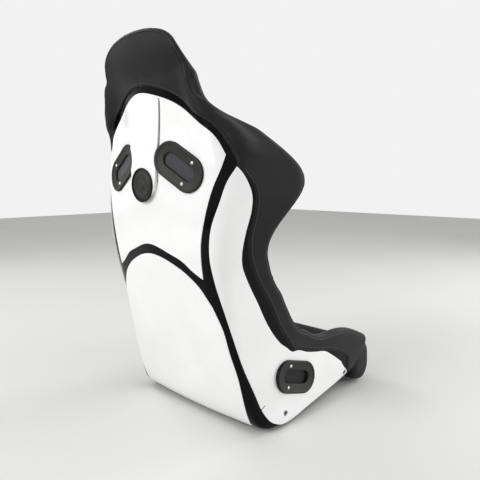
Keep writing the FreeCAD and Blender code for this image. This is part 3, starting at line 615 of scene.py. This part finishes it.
def makeBackPanels():
    made = []
    for key, rows, columns in (("upper", 76, 76), ("lower", 72, 64)):
        grid = backGrid(panels[key + "Top"], panels[key + "Foot"], panels[key + "Side"], rows, columns)
        made.append(laidPanel(key + "Panel", grid, key + "_back_panel"))
    cutBy(made[0], bothSides([slotCut(shoulderSlot, slotLength)]) + bothSides([shadowGrooveSolid()]))
    for piece in made:
        softEdges(piece, panelEdge)


def makeSidePanels():
    rearEdge, frontEdge = panels["sideRear"], panels["sideFront"]
    rear, front = [np.linspace(edge[0][0], edge[-1][0], 150) for edge in (rearEdge, frontEdge)]
    rearLine = np.stack([rear, vAtReach(rear, smoothRead(rearEdge, rear))], axis=1)
    frontLine = np.stack([front, vBelowRim(front, smoothRead(frontEdge, front))], axis=1)
    frontLine[0] = rearLine[0]
    share = np.linspace(0, 1, 34)[:, None]
    top = rearLine[0] + share * 0
    noseBend = np.array([0.12, 0.0]) * np.sin(math.pi * share)
    foot = rearLine[-1] + share * (frontLine[-1] - rearLine[-1]) + noseBend
    piece = laidPanel("leftSidePanel", filled(top, foot, rearLine, frontLine), "left_side_panel")
    cuts = [slotCut(lapSlot, slotLength)] + [holeCut(spot) for spot in insertSpots]
    mouth, tilt = onMould(16.9, vAtReach(16.9, 229)), math.radians(35)  # of the relief slit in the rear edge
    slitLength, slitWidth = 23.0, 2.8
    ahead = np.array([0, -math.cos(tilt), math.sin(tilt)])
    across = np.array([0, math.sin(tilt), math.cos(tilt)]) * slitWidth
    ends = [(-3, 0), (slitLength, 0), (slitLength, 1), (-3, 1)]
    base = [mouth + ahead * a + across * b for a, b in ends]
    cuts.append(loft([[p + np.array([x, 0, 0]) for p in base] for x in (-30, 30)]))
    cutBy(piece, cuts)
    other = mirroredPiece(piece, "rightSidePanel")
    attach(other, "root")
    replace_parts(other, "right_side_panel")
    for side in (piece, other):
        softEdges(side, panelEdge)


def makeRidge():  # the raised spine, prouder towards the badge, with a round foot that cradles it
    footStation = badgeSpot[4][0]
    rows, columns = 60, 28
    half = np.linspace(-1, 1, columns)
    topStation = ridge["topStation"] + 0.3 * half**2
    lowStation = footStation - 0.08 + ridge["footDrop"] / stationRun * np.sqrt(np.maximum(1 - half**2, 0))
    tops = np.stack([topStation, vAtReach(topStation, half * ridge["topHalf"])], axis=1)
    feet = np.stack([lowStation, vAtReach(lowStation, half * ridge["footHalf"])], axis=1)
    stations = np.linspace(topStation[-1], lowStation[-1], rows)
    reach = np.linspace(ridge["topHalf"], ridge["footHalf"], rows)
    edge = np.stack([stations, vAtReach(stations, reach)], axis=1)
    grid = filled(tops, feet, edge * np.array([1, -1]) + np.array([0, 1]), edge)
    risen = (grid[..., 0] - 2.5) / 4.5  # from the crest's top station to the badge's
    crest = panelHigh + ridge["low"] + (ridge["high"] - ridge["low"]) * risen
    piece = laidPanel("spineRidge", grid, "upper_back_panel", crest, panelHigh - 0.8)
    room = 2 * (bezelBorder + slotGap)
    bezelRoom = blockThrough(shoulderSlot, slotLength + room, slotWidth + room, -1, 60)
    around = badgeRadius + slotGap
    badgeRoom = turned(badgeSpot, 0, 0, [(around, badgeSeat - 0.2), (around, 40)], badgeCount)
    cutBy(piece, bothSides([bezelRoom]) + [badgeRoom])
    softEdges(piece, ridge["edge"])


makeBackPanels()
makeSidePanels()
makeRidge()

# Bezels, screws, badge and inserts


def sweptRing(slotFrame, length, profile):  # of (out from the slot's edge, height, on the ground or not)
    ground = groundUnder(slotFrame)
    loops = []
    for grow, height, follows in profile:
        along, across = pathPoints(length, slotWidth, grow, bezelCount)
        lift = height + ground(along, across) if follows else height
        loops.append(standing(slotFrame, along, across, lift))
    return loft(loops, ring=True)


def outerBezelProfile():
    border, top, face, foot, end = bezelBorder, bezelTop, bezelFace, bezelFoot, collarEnd
    inside = border - bezelRim
    return [
        (0, end, 0), (0, face - 1.8, 0), (0.3, face - 0.9, 0), (1.2, face - 0.3, 0), (2.4, face, 0),
        (inside - 0.8, face + 0.5, 0), (inside + 0.6, face + 0.9, 0), (inside + 1.8, top - 0.6, 0),
        (inside + 3.0, top - 0.1, 0), (border - 2.4, top, 0), (border - 1.0, top - 0.5, 0),
        (border - 0.2, top - 1.5, 0), (border, foot + 1.0, 1), (border, foot, 1), (slotLip, foot, 1),
        (slotLip, end, 0),
    ]


def makeBezels():
    low, top, border = innerLow, innerTop, innerBorder
    lip = slotLip + slotGap
    inner = [(lip, low, 1), (border, low, 1), (border, top + 1.0, 1), (border - 1.2, top, 1),
             (lip + 1.0, top, 1), (lip, top + 0.8, 1)]
    outer = outerBezelProfile()
    for name, spot in (("shoulder", shoulderSlot), ("lap", lapSlot)):
        for kind, profile, node in (("Bezel", outer, "_bezel"), ("InnerBezel", inner, "_inner_bezel")):
            points, faces = sweptRing(spot, slotLength, profile)
            for side, place in (("left", points), ("right", flipX(points))):
                piece = makePiece(side + name.title() + kind, place, faces, satinPlastic)
                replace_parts(piece, side + "_" + name + node)
                if kind == "Bezel":
                    # Painted shade: the rim's rounded outer edge and outer wall take the darker black
                    # plastic, so a dark band rings the one-piece bezel where its wall falls in shade.
                    piece.data.materials.append(blackPlastic)
                    for i in range(10 * bezelCount, 13 * bezelCount):  # the rim's outer edge
                        piece.data.polygons[i].material_index = 1
    crotch = [(0, -0.3, 0), (slotLip, -0.3, 0), (slotLip, low, 1), (crotchBorder, low, 1),
              (crotchBorder, top + 1, 1), (crotchBorder - 1.2, top, 1), (1.0, top, 1), (0, top + 0.9, 1)]
    points, faces = sweptRing(crotchSlot, crotchLength, crotch)
    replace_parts(makePiece("crotchBezel", points, faces, satinPlastic), "crotch_belt_bezel")


def makeScrews():  # button heads with a hex socket
    head, shank, face = 4.0, 2.0, bezelFace
    profile = [
        (shank, innerTop), (shank, face), (head, face + 0.05), (head, face + 0.7), (head - 0.4, face + 1.5),
        (head - 1.2, face + 2.0), (2.2, face + 2.2), (1.9, face + 2.2), (1.8, face + 1.0), (0.02, face + 0.8),
    ]
    places = [(spot, across) for spot in (shoulderSlot, lapSlot) for across in (25.6, -25.6)]
    solids = [turned(spot, 28.0, across, profile, 30, hexAt=(7, 8)) for spot, across in places]
    points, faces = joined(bothSides(solids))
    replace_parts(makePiece("bezelScrews", points, faces, brightSteel), "bezel_screws")


def makeBadge():  # a bare ring and a stepped, dished disc
    low, top, outer = badgeSeat, badgeSeat + 4.0, badgeRadius
    inner = outer - 4.0
    ring = [(inner, low), (outer, low), (outer, top - 0.9), (outer - 0.9, top), (inner + 0.9, top),
            (inner, top - 0.9)]
    points, faces = turned(badgeSpot, 0, 0, ring, badgeCount, ring=True)
    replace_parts(makePiece("badgeRing", points, faces, blackPlastic), "badge_ring")
    edge = inner - 0.3
    disc = [(edge, low), (edge, low + 2.0), (edge - 0.5, low + 2.4), (edge * 0.84, low + 2.5)]
    steps = [(0.81, 0.6), (0.78, 0), (0.7, 0), (0.66, 0.9), (0.3, 1.4), (0.27, 0.6), (0.22, 0.3)]
    disc += [(edge * share, top - drop) for share, drop in steps] + [(0.05, top - 0.2)]
    points, faces = turned(badgeSpot, 0, 0, disc, badgeCount)
    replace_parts(makePiece("badgeDisc", points, faces, satinPlastic), "badge_disc")


def makeInserts():  # threaded bosses, their mouths flush with the side panels
    seat, flange, flangeThick, barrel = -5.3, 11.0, 2.0, 7.0
    bore, root, end, pitch = 4.0, 3.5, 2.8, 1.25
    low = seat - flangeThick
    profile = [(bore, low), (flange, low), (flange, seat), (barrel, seat), (barrel, end - 0.4),
               (barrel - 0.4, end), (bore + 0.6, end), (bore, end - 0.6)]
    height, crest = end - 1.2, True
    while height > low + 0.6:
        profile.append((root if crest else bore, height))
        height, crest = height - pitch / 2, not crest
    solids = [turned(spot, 0, 0, profile, 36, ring=True) for spot in insertSpots]
    points, faces = joined(bothSides(solids))
    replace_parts(makePiece("mountingInserts", points, faces, zincSteel), "mounting_inserts")


makeBezels()
makeScrews()
makeBadge()
makeInserts()

# Upholstery: one vinyl cover from the head over both shoulders and along the rim to the nose
head = {
    "low": 786.0, "top": 896.0, "lean": 14.0, "front": -65.0, "backRound": 11.0, "frontRound": 34.0,
    "frontInset": 44.0, "points": 40, "flushTo": 132.0, "leanRun": 70,
    "rearInsets": (98, 84, 70, 56, 42, 30, 20), "frontInsets": (60, 80, 98),
    "outline": [(154, 786), (149, 805), (141, 828), (130, 850), (115, 868), (94, 881), (52, 892), (0, 896)],
    "edgeDepth": [(786, 0.68), (804, 0.54), (825, 0.32), (850, 0.14), (900, 0.13)],
    "midDepth": [(772, 1.0), (820, 0.95), (860, 0.75), (900, 0.45)],
}


def stepsAlong(points):
    return np.concatenate(([0], np.cumsum(np.linalg.norm(np.diff(points, axis=0), axis=1))))


def smoothLine(points, count):  # a smooth line through given points, evenly spaced
    points = np.asarray(points, float)
    steps = stepsAlong(points)
    at = np.linspace(0, steps[-1], count)
    return np.stack([smoothRead(np.stack([steps, line], axis=1), at) for line in points.T], axis=1)


def headOutline(inset):  # the head seen from behind, as (x, z), drawn in by inset
    side = smoothLine(head["outline"], head["points"])
    low, half = head["low"], head["outline"][0][0]
    drawn = inset / (head["top"] - low)
    side = side * np.array([1 - inset / half, 1 - drawn]) + np.array([0, low * drawn])
    return np.concatenate([side, (side * np.array([-1, 1]))[-2::-1]])


def coverBack(x, z):  # how far back the cover lies over the form at x and z
    station = np.interp(-z, -tablePoints[:, 0, 2], tableStations)
    reach = np.minimum(abs(x), head["flushTo"])
    rise = np.clip((z - head["low"]) / head["leanRun"], 0, 1)
    lean = head["lean"] * rise**2 * (3 - 2 * rise)
    return lean + onMould(station, vAtReach(station, reach), coverTop)[..., 1]


def headDepth(x, z):
    edge, mid = [np.interp(z, *np.array(head[key]).T) for key in ("edgeDepth", "midDepth")]
    return edge + (mid - edge) * np.clip(1 - (x / head["outline"][0][0]) ** 2, 0, 1)


def headSolid():
    back, front, bow = head["backRound"], head["frontRound"], head["frontInset"]
    levels = [(0.0, inset) for inset in head["rearInsets"]]
    for a in np.linspace(0, math.pi / 2, 7):
        levels.append((-back * (1 - math.cos(a)), back * (1 - math.sin(a))))
    for a in np.linspace(0, math.pi / 2, 12):
        levels.append((head["front"] + front - front * math.sin(a), bow * (1 - math.cos(a)) ** 0.8))
    levels += [(head["front"] - 2, inset) for inset in head["frontInsets"]]
    loops = []
    for y, inset in levels:
        x, z = headOutline(inset).T
        loops.append(np.stack([x, coverBack(x, z) + y * headDepth(x, z), z], axis=1))
    return loft(loops)


def hemV(stations):  # where the cover's hem crosses each station
    reach = np.linspace(0, 250, 200)
    rear = np.interp(stations, smoothRead(bothWays(hems["rear"]), reach), reach)
    fromRear = vAtReach(stations, rear)
    fromRim = vBelowRim(stations, smoothRead(hems["side"], stations))
    share = np.clip((stations - 5.9) / 0.5, 0, 1)
    return fromRear + (fromRim - fromRear) * share


rimStart, leastCover, cornerWidth = 1.55, 14, 0.07


def rimDirections(stations):
    edge = rimV(stations)
    rim = onMould(stations, edge)
    out = outwardAt(stations, edge)
    beyond = unit(rim - onMould(stations, edge - 0.005))
    return rim, out, beyond


def rollPoints(stations):  # the folded part of the cover, from the rim's outside over it to the inside
    rim, out, beyond = rimDirections(stations)
    hang = overhang * np.clip((stations - rimStart) / 0.7 + 0.4, 0, 1)[:, None]
    fold = [(0.45, swell * 0.97), (0.8, swell * 0.55), (1.02, -(wall + swell) * 0.4),
            (0.85, -wall - pad * 0.5), (0.4, -wall - pad * 0.82)]
    return [rim + beyond * hang * reach + out * height for reach, height in fold]


def rimLoops(stations):
    edge = rimV(stations)
    start = np.minimum(hemV(stations), rimV(stations, leastCover))
    mm = 0.5 / rimReach(stations)
    corner = np.interp(stations, *np.array(cornerSwell, float).T)
    peak = np.maximum(0.82, start + 0.035)
    hem = [onMould(stations, start + step * mm, height) for step, height in ((0, -2.5), (0, 1.5), (0.8, 3.4))]
    outer, inner, back = [], [], []
    for share in np.linspace(0, 1, 26) ** 1.1:
        v = start + 3 * mm + (edge - start - 3 * mm) * share
        bulge = corner * np.exp(-((v - peak) / cornerWidth) ** 2)
        outer.append(onMould(stations, v, coverTop + (swell - skin) * share**2 + bulge))
    for share in np.linspace(0, 1, 12):
        depth = wall + lift + pad * (0.9 + 0.4 * share - 0.9 * share**2)
        inner.append(onMould(stations, edge + (innerV - edge) * share, -depth))
    for share in np.linspace(0, 1, 14):
        back.append(onMould(stations, innerV + (start - innerV) * share, -2.5))
    front, back = np.stack(hem + outer + rollPoints(stations) + inner, axis=1), np.stack(back, axis=1)
    return [np.concatenate([smoothLine(line, 76), rest[:-1]]) for line, rest in zip(front, back)]


def rimSolid():
    stations = np.concatenate([np.linspace(rimStart, 2.9, 40), np.arange(3.0, lastStation + 0.01, 0.14)])
    loops = rimLoops(stations)
    for i, size in enumerate(np.linspace(0.55, 1, 9)[:-1]):  # its first loops drawn in
        middle = loops[i].mean(axis=0)
        loops[i] = middle + (loops[i] - middle) * size
    last, edge = np.array([lastStation]), np.array([1.0])
    ahead = unit(placeOn(last, edge) - placeOn(last - 0.1, edge))
    end, centre = loops[-1], loops[-1].mean(axis=0)
    for step, size in ((5, 0.96), (10, 0.86), (13.5, 0.7), (15, 0.5)):
        loops.append(centre + (end - centre) * size + ahead * step)
    return loft(loops)


nosePad = {
    "start": 25.3, "depth": 24.0, "ahead": 15.0, "rollHalf": 224.0,
    "roll": [(-566, 50), (-563, 10), (-590, -7), (-622, -8), (-641, 14), (-645, 60), (-638, 94), (-612, 112),
             (-582, 100)],
}


def noseSolid():  # the front pad, folded over the front edge of the base
    sides = np.linspace(0, 1, 61)
    last = np.full_like(sides, lastStation)
    ahead = unit(placeOn(last, sides) - placeOn(last - 0.1, sides)) * nosePad["ahead"]
    high, deep = coverTop, -wall - nosePad["depth"]
    middle, half = (high + deep) / 2, (high - deep) / 2
    flat = [np.full_like(sides, s) for s in np.linspace(nosePad["start"], lastStation, 9)]
    rows = [onMould(stations, sides, high) for stations in flat]
    for turn in np.linspace(0, math.pi, 11)[1:-1]:
        rows.append(onMould(last, sides, middle + half * math.cos(turn)) + ahead * math.sin(turn))
    rows += [onMould(stations, sides, deep) for stations in reversed(flat)]
    return loft(np.stack(rows, axis=1))


def noseRoll():  # the pad's front, hanging below the front edge from one corner to the other
    section = smoothLine(nosePad["roll"] + nosePad["roll"][:1], 49)[:-1]
    centre = section.mean(axis=0)
    loops = []
    for side in (-1, 1):
        for drawn, size in ((0, 0.6), (3, 0.8), (8, 0.93), (16, 1.0)):
            ring = centre + (section - centre) * size
            loops.append(np.insert(ring, 0, side * (nosePad["rollHalf"] - drawn), axis=1))
    return loft(loops[:4] + loops[:3:-1])


def makeCover():
    points, faces = joined([headSolid()] + bothSides([rimSolid()]) + [noseSolid(), noseRoll()])
    piece = makePiece("vinylCover", points, faces, blackVinyl)
    modify(piece, "REMESH", mode="VOXEL", voxel_size=0.0032, use_smooth_shade=True)
    modify(piece, "SMOOTH", factor=0.5, iterations=14)
    applyAll(piece)
    nodes = ["head_cover", "nose_pad"]
    for part in ("shoulder_cover", "shoulder_bolster", "waist_bolster", "thigh_bolster"):
        nodes += ["left_" + part, "right_" + part]
    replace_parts(piece, *nodes)
    return piece


cover = makeCover()
print("cover made:", len(cover.data.polygons), "faces")
corners = [v.co for v in cover.data.vertices]
coverTree = BVHTree.FromPolygons(corners, [p.vertices for p in cover.data.polygons])


def layOn(points, lift):  # points in mm dropped onto the cover and lifted off it
    laid = []
    for point in toFrame(points):
        place, normal, _, _ = coverTree.find_nearest(Vector(point))
        laid.append(np.array(place + normal * (lift / 1000)) * 1000 - toOrigin)
    return np.array(laid)


def tubeSolid(line, radius, sides=6):
    ahead = unit(np.gradient(line, axis=0))
    first = unit(np.cross(ahead, np.array([0.31, 0.22, 0.92])))  # a way that no seam runs
    second = np.cross(ahead, first)
    loops = [line + radius * (math.cos(a) * first + math.sin(a) * second)
             for a in np.arange(sides) * 2 * math.pi / sides]
    return loft(np.stack(loops, axis=1))


# The last size is the radius of the dark tube laid along each seam: painted shade for the seam's shadow line.
stitchPitch, stitchLength, threadRadius, seamShadowRadius = 4.2, 3.0, 0.5, 1.1
hemIn, headIn, twinGap = 7.0, 9.0, 5.0  # how far in from an edge or a seam these run


def stitchSolids(line):  # one short bead of thread for each stitch
    steps = stepsAlong(line)
    bead = np.array([0.35, 0.95, 1.0, 0.95, 0.35])[:, None] * threadRadius
    solids = []
    for start in np.arange(stitchPitch, steps[-1] - stitchPitch, stitchPitch):
        at = start + np.array([0, 0.15, 0.5, 0.85, 1.0]) * stitchLength
        solids.append(tubeSolid(np.stack([np.interp(at, steps, part) for part in line.T], axis=1), bead, 5))
    return solids


def hemPath():
    reach = np.linspace(0, 246, 120)
    rear = smoothRead(bothWays(hems["rear"]), reach) - hemIn / stationRun
    top = onMould(rear, vAtReach(rear, reach), 5)
    stations = np.linspace(6.4, 25.7, 260)
    side = onMould(stations, vBelowRim(stations, smoothRead(hems["side"], stations) - hemIn), 5)
    return np.concatenate([top, side])


def rimPath(first, last, shift):
    stations = np.linspace(first, last, int((last - first) * 14))
    rim, out, beyond = rimDirections(stations)
    return rim + beyond * (overhang * 0.62 + shift) + out * swell * 0.8


def headSeam():
    x, z = headOutline(headIn).T
    return np.stack([x, coverBack(x, z) - 4, z], axis=1)[x <= 0]


def makeSeams():
    seamShadows, stitches = [], []
    hemStitch = layOn(hemPath(), 0.1)
    seam = layOn(np.concatenate([flipX(headSeam()), rimPath(2.0, 26.6, 0)]), 0.0)
    twin = layOn(rimPath(2.2, 26.4, -twinGap), 0.1)
    cross = layOn(smoothLine([p[0] for p in rollPoints(np.array([11.6]))], 24), 0.0)
    # Painted shade: thin tubes in the darker black plastic lie half-sunk along the seam lines and stand in
    # for the shadow along each seam.
    for line in (seam, cross):
        seamShadows.append(tubeSolid(line, seamShadowRadius))
    for line in (hemStitch, twin):
        stitches += stitchSolids(line)
    for name, solids, material in (("rimSeamShadow", seamShadows, blackPlastic), ("topStitching", stitches, greyThread)):
        points, faces = joined(bothSides(solids))
        makePiece(name, points, faces, material)


makeSeams()

# Inner cushions: foam pads under woven fabric
cushions = {
    "sideV": 0.79, "voxel": 0.006, "pressure": 3.0, "cap": 4.0, "frames": 20, "across": 420,
    "channelWidth": 5.0, "channelDepth": 3.5, "sideChannels": (0.2, 0.8),
    "pads": [("upperBackPad", "upper_back_pad", 2.45, 7.3, 19, (4.9,)),
             ("backrestCushion", "backrest_cushion", 7.4, 11.2, 25, (8.7, 9.9)),
             ("lumbarCushion", "lumbar_cushion", 11.3, 15.9, 19, (12.8, 14.4)),
             ("seatCushion", "seat_cushion", 16.0, 25.5, 29, (19.2, 22.4))],
}


def cushionSolid(first, last, pad, channels, rows=90, columns=70):
    run = np.linspace(0, 1, rows)[:, None]
    share = np.linspace(0, 1, columns)[None, :]
    stations = first + (last - first) * run
    sides = 1 - cushions["sideV"] + (2 * cushions["sideV"] - 1) * share
    rise = (1 - np.abs(2 * run - 1) ** 5) ** 0.5 * (1 - np.abs(2 * share - 1) ** 5) ** 0.5
    puff = 0.12 + 0.86 * rise * (0.8 + 0.2 * np.sin(math.pi * run)) * (0.84 + 0.16 * np.sin(math.pi * share))
    away = [(stations - channel) * stationRun for channel in channels]
    away += [(share - side) * cushions["across"] for side in cushions["sideChannels"]]
    for distance in away:
        groove = np.exp(-(distance / cushions["channelWidth"]) ** 2) * rise
        puff = puff - cushions["channelDepth"] / pad * groove
    layers = [onMould(stations, sides, -wall - lift - height) for height in (pad * puff, 0)]
    return np.concatenate([layer.reshape(-1, 3) for layer in layers]), solidFaces(rows, columns)


def inflate(piece):  # cloth under pressure, its movement capped, then applied
    scene = bpy.context.scene
    rest = np.array([v.co for v in piece.data.vertices])
    cloth = piece.modifiers.new("cloth", "CLOTH")
    cloth.settings.use_pressure = True
    cloth.settings.uniform_pressure_force = cushions["pressure"]
    cloth.settings.effector_weights.gravity = 0
    for number in range(1, cushions["frames"] + 1):
        scene.frame_set(number)
    shaped = piece.evaluated_get(bpy.context.evaluated_depsgraph_get())
    move = np.array([v.co for v in shaped.data.vertices]) - rest
    far = np.linalg.norm(move, axis=1, keepdims=True)
    move *= np.minimum(1, cushions["cap"] / 1000 / np.maximum(far, 1e-9))
    piece.modifiers.clear()
    piece.data.vertices.foreach_set("co", (rest + move).ravel())
    scene.frame_set(1)


def makeCushions():
    for name, node, first, last, pad, channels in cushions["pads"]:
        points, faces = cushionSolid(first, last, pad, channels)
        piece = makePiece(name, points, faces, seatFabric)
        modify(piece, "REMESH", mode="VOXEL", voxel_size=cushions["voxel"], use_smooth_shade=True)
        applyAll(piece)
        inflate(piece)
        modify(piece, "SMOOTH", factor=0.5, iterations=2)
        modify(piece, "SUBSURF", levels=1, render_levels=1)
        applyAll(piece)
        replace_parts(piece, node)
        print(name, "made:", len(piece.data.polygons), "faces")


makeCushions()

# Stage, lights and camera
stage = {"floor": ("#e4e4e2", "#e8e8e6"), "floorSize": 14.0, "air": "#f2f2f2", "airLight": 0.55}


def makeStage():
    bpy.ops.mesh.primitive_plane_add(size=stage["floorSize"])
    floor = bpy.context.object
    floor.name = "floor"
    material, tree, surface, place = startMaterial("paintedFloor", {"Roughness": 0.9})
    cloud = addNode(tree, "ShaderNodeTexNoise", {"Scale": 0.7}, {"Vector": place})
    tint(tree, surface, cloud.outputs["Fac"], *stage["floor"])
    floor.data.materials.append(material)
    world = bpy.data.worlds.new("studio")
    world.use_nodes = True
    bpy.context.scene.world = world
    tree = world.node_tree
    background = tree.nodes["Background"]
    background.inputs["Color"].default_value = linear(stage["air"])
    rays = addNode(tree, "ShaderNodeLightPath").outputs
    seen = larger(tree, rays["Is Camera Ray"], rays["Is Transmission Ray"])
    shone = larger(tree, seen, rays["Is Glossy Ray"])
    tree.links.new(spread(tree, shone, stage["airLight"], 1.0), background.inputs["Strength"])


lamps = [  # name, place, aimed at, width and height in metres, watts
    ("keyLamp", (0.5, 3.0, 1.9), (0, 0, 0.4), (1.6, 1.6), 58),
    ("sideLamp", (-2.6, -1.9, 0.8), (0, -0.1, 0.3), (2.0, 1.6), 42),
    ("rimLamp", (-1.0, -2.6, 1.9), (0, -0.1, 0.45), (1.2, 1.4), 26),
    ("farLamp", (2.4, 0.2, 2.2), (0, 0, 0.6), (1.0, 1.0), 14),
]


def makeLamps():
    for name, place, aim, (width, height), watts in lamps:
        light = bpy.data.lights.new(name, "AREA")
        light.shape, light.size, light.size_y, light.energy = "RECTANGLE", width, height, watts
        lamp = placed(bpy.data.objects.new(name, light))
        lamp.location = place
        lamp.rotation_euler = (Vector(aim) - Vector(place)).to_track_quat("-Z", "Y").to_euler()


camera = {"place": (-946.7, 660.6, 576.8), "yaw": 44.0, "down": 6.9, "lens": 37.5}


def makeCamera():
    yaw, down = math.radians(camera["yaw"]), math.radians(camera["down"])
    look = Vector((math.sin(yaw) * math.cos(down), -math.cos(yaw) * math.cos(down), -math.sin(down)))
    lens = bpy.data.cameras.new("photoView")
    lens.lens, lens.sensor_width = camera["lens"], 36
    eye = placed(bpy.data.objects.new("photoView", lens))
    eye.location = Vector(toFrame(camera["place"]))
    eye.rotation_euler = look.to_track_quat("-Z", "Y").to_euler()
    bpy.context.scene.camera = eye


makeStage()
makeLamps()
makeCamera()
bpy.context.scene.view_settings.view_transform = "Standard"
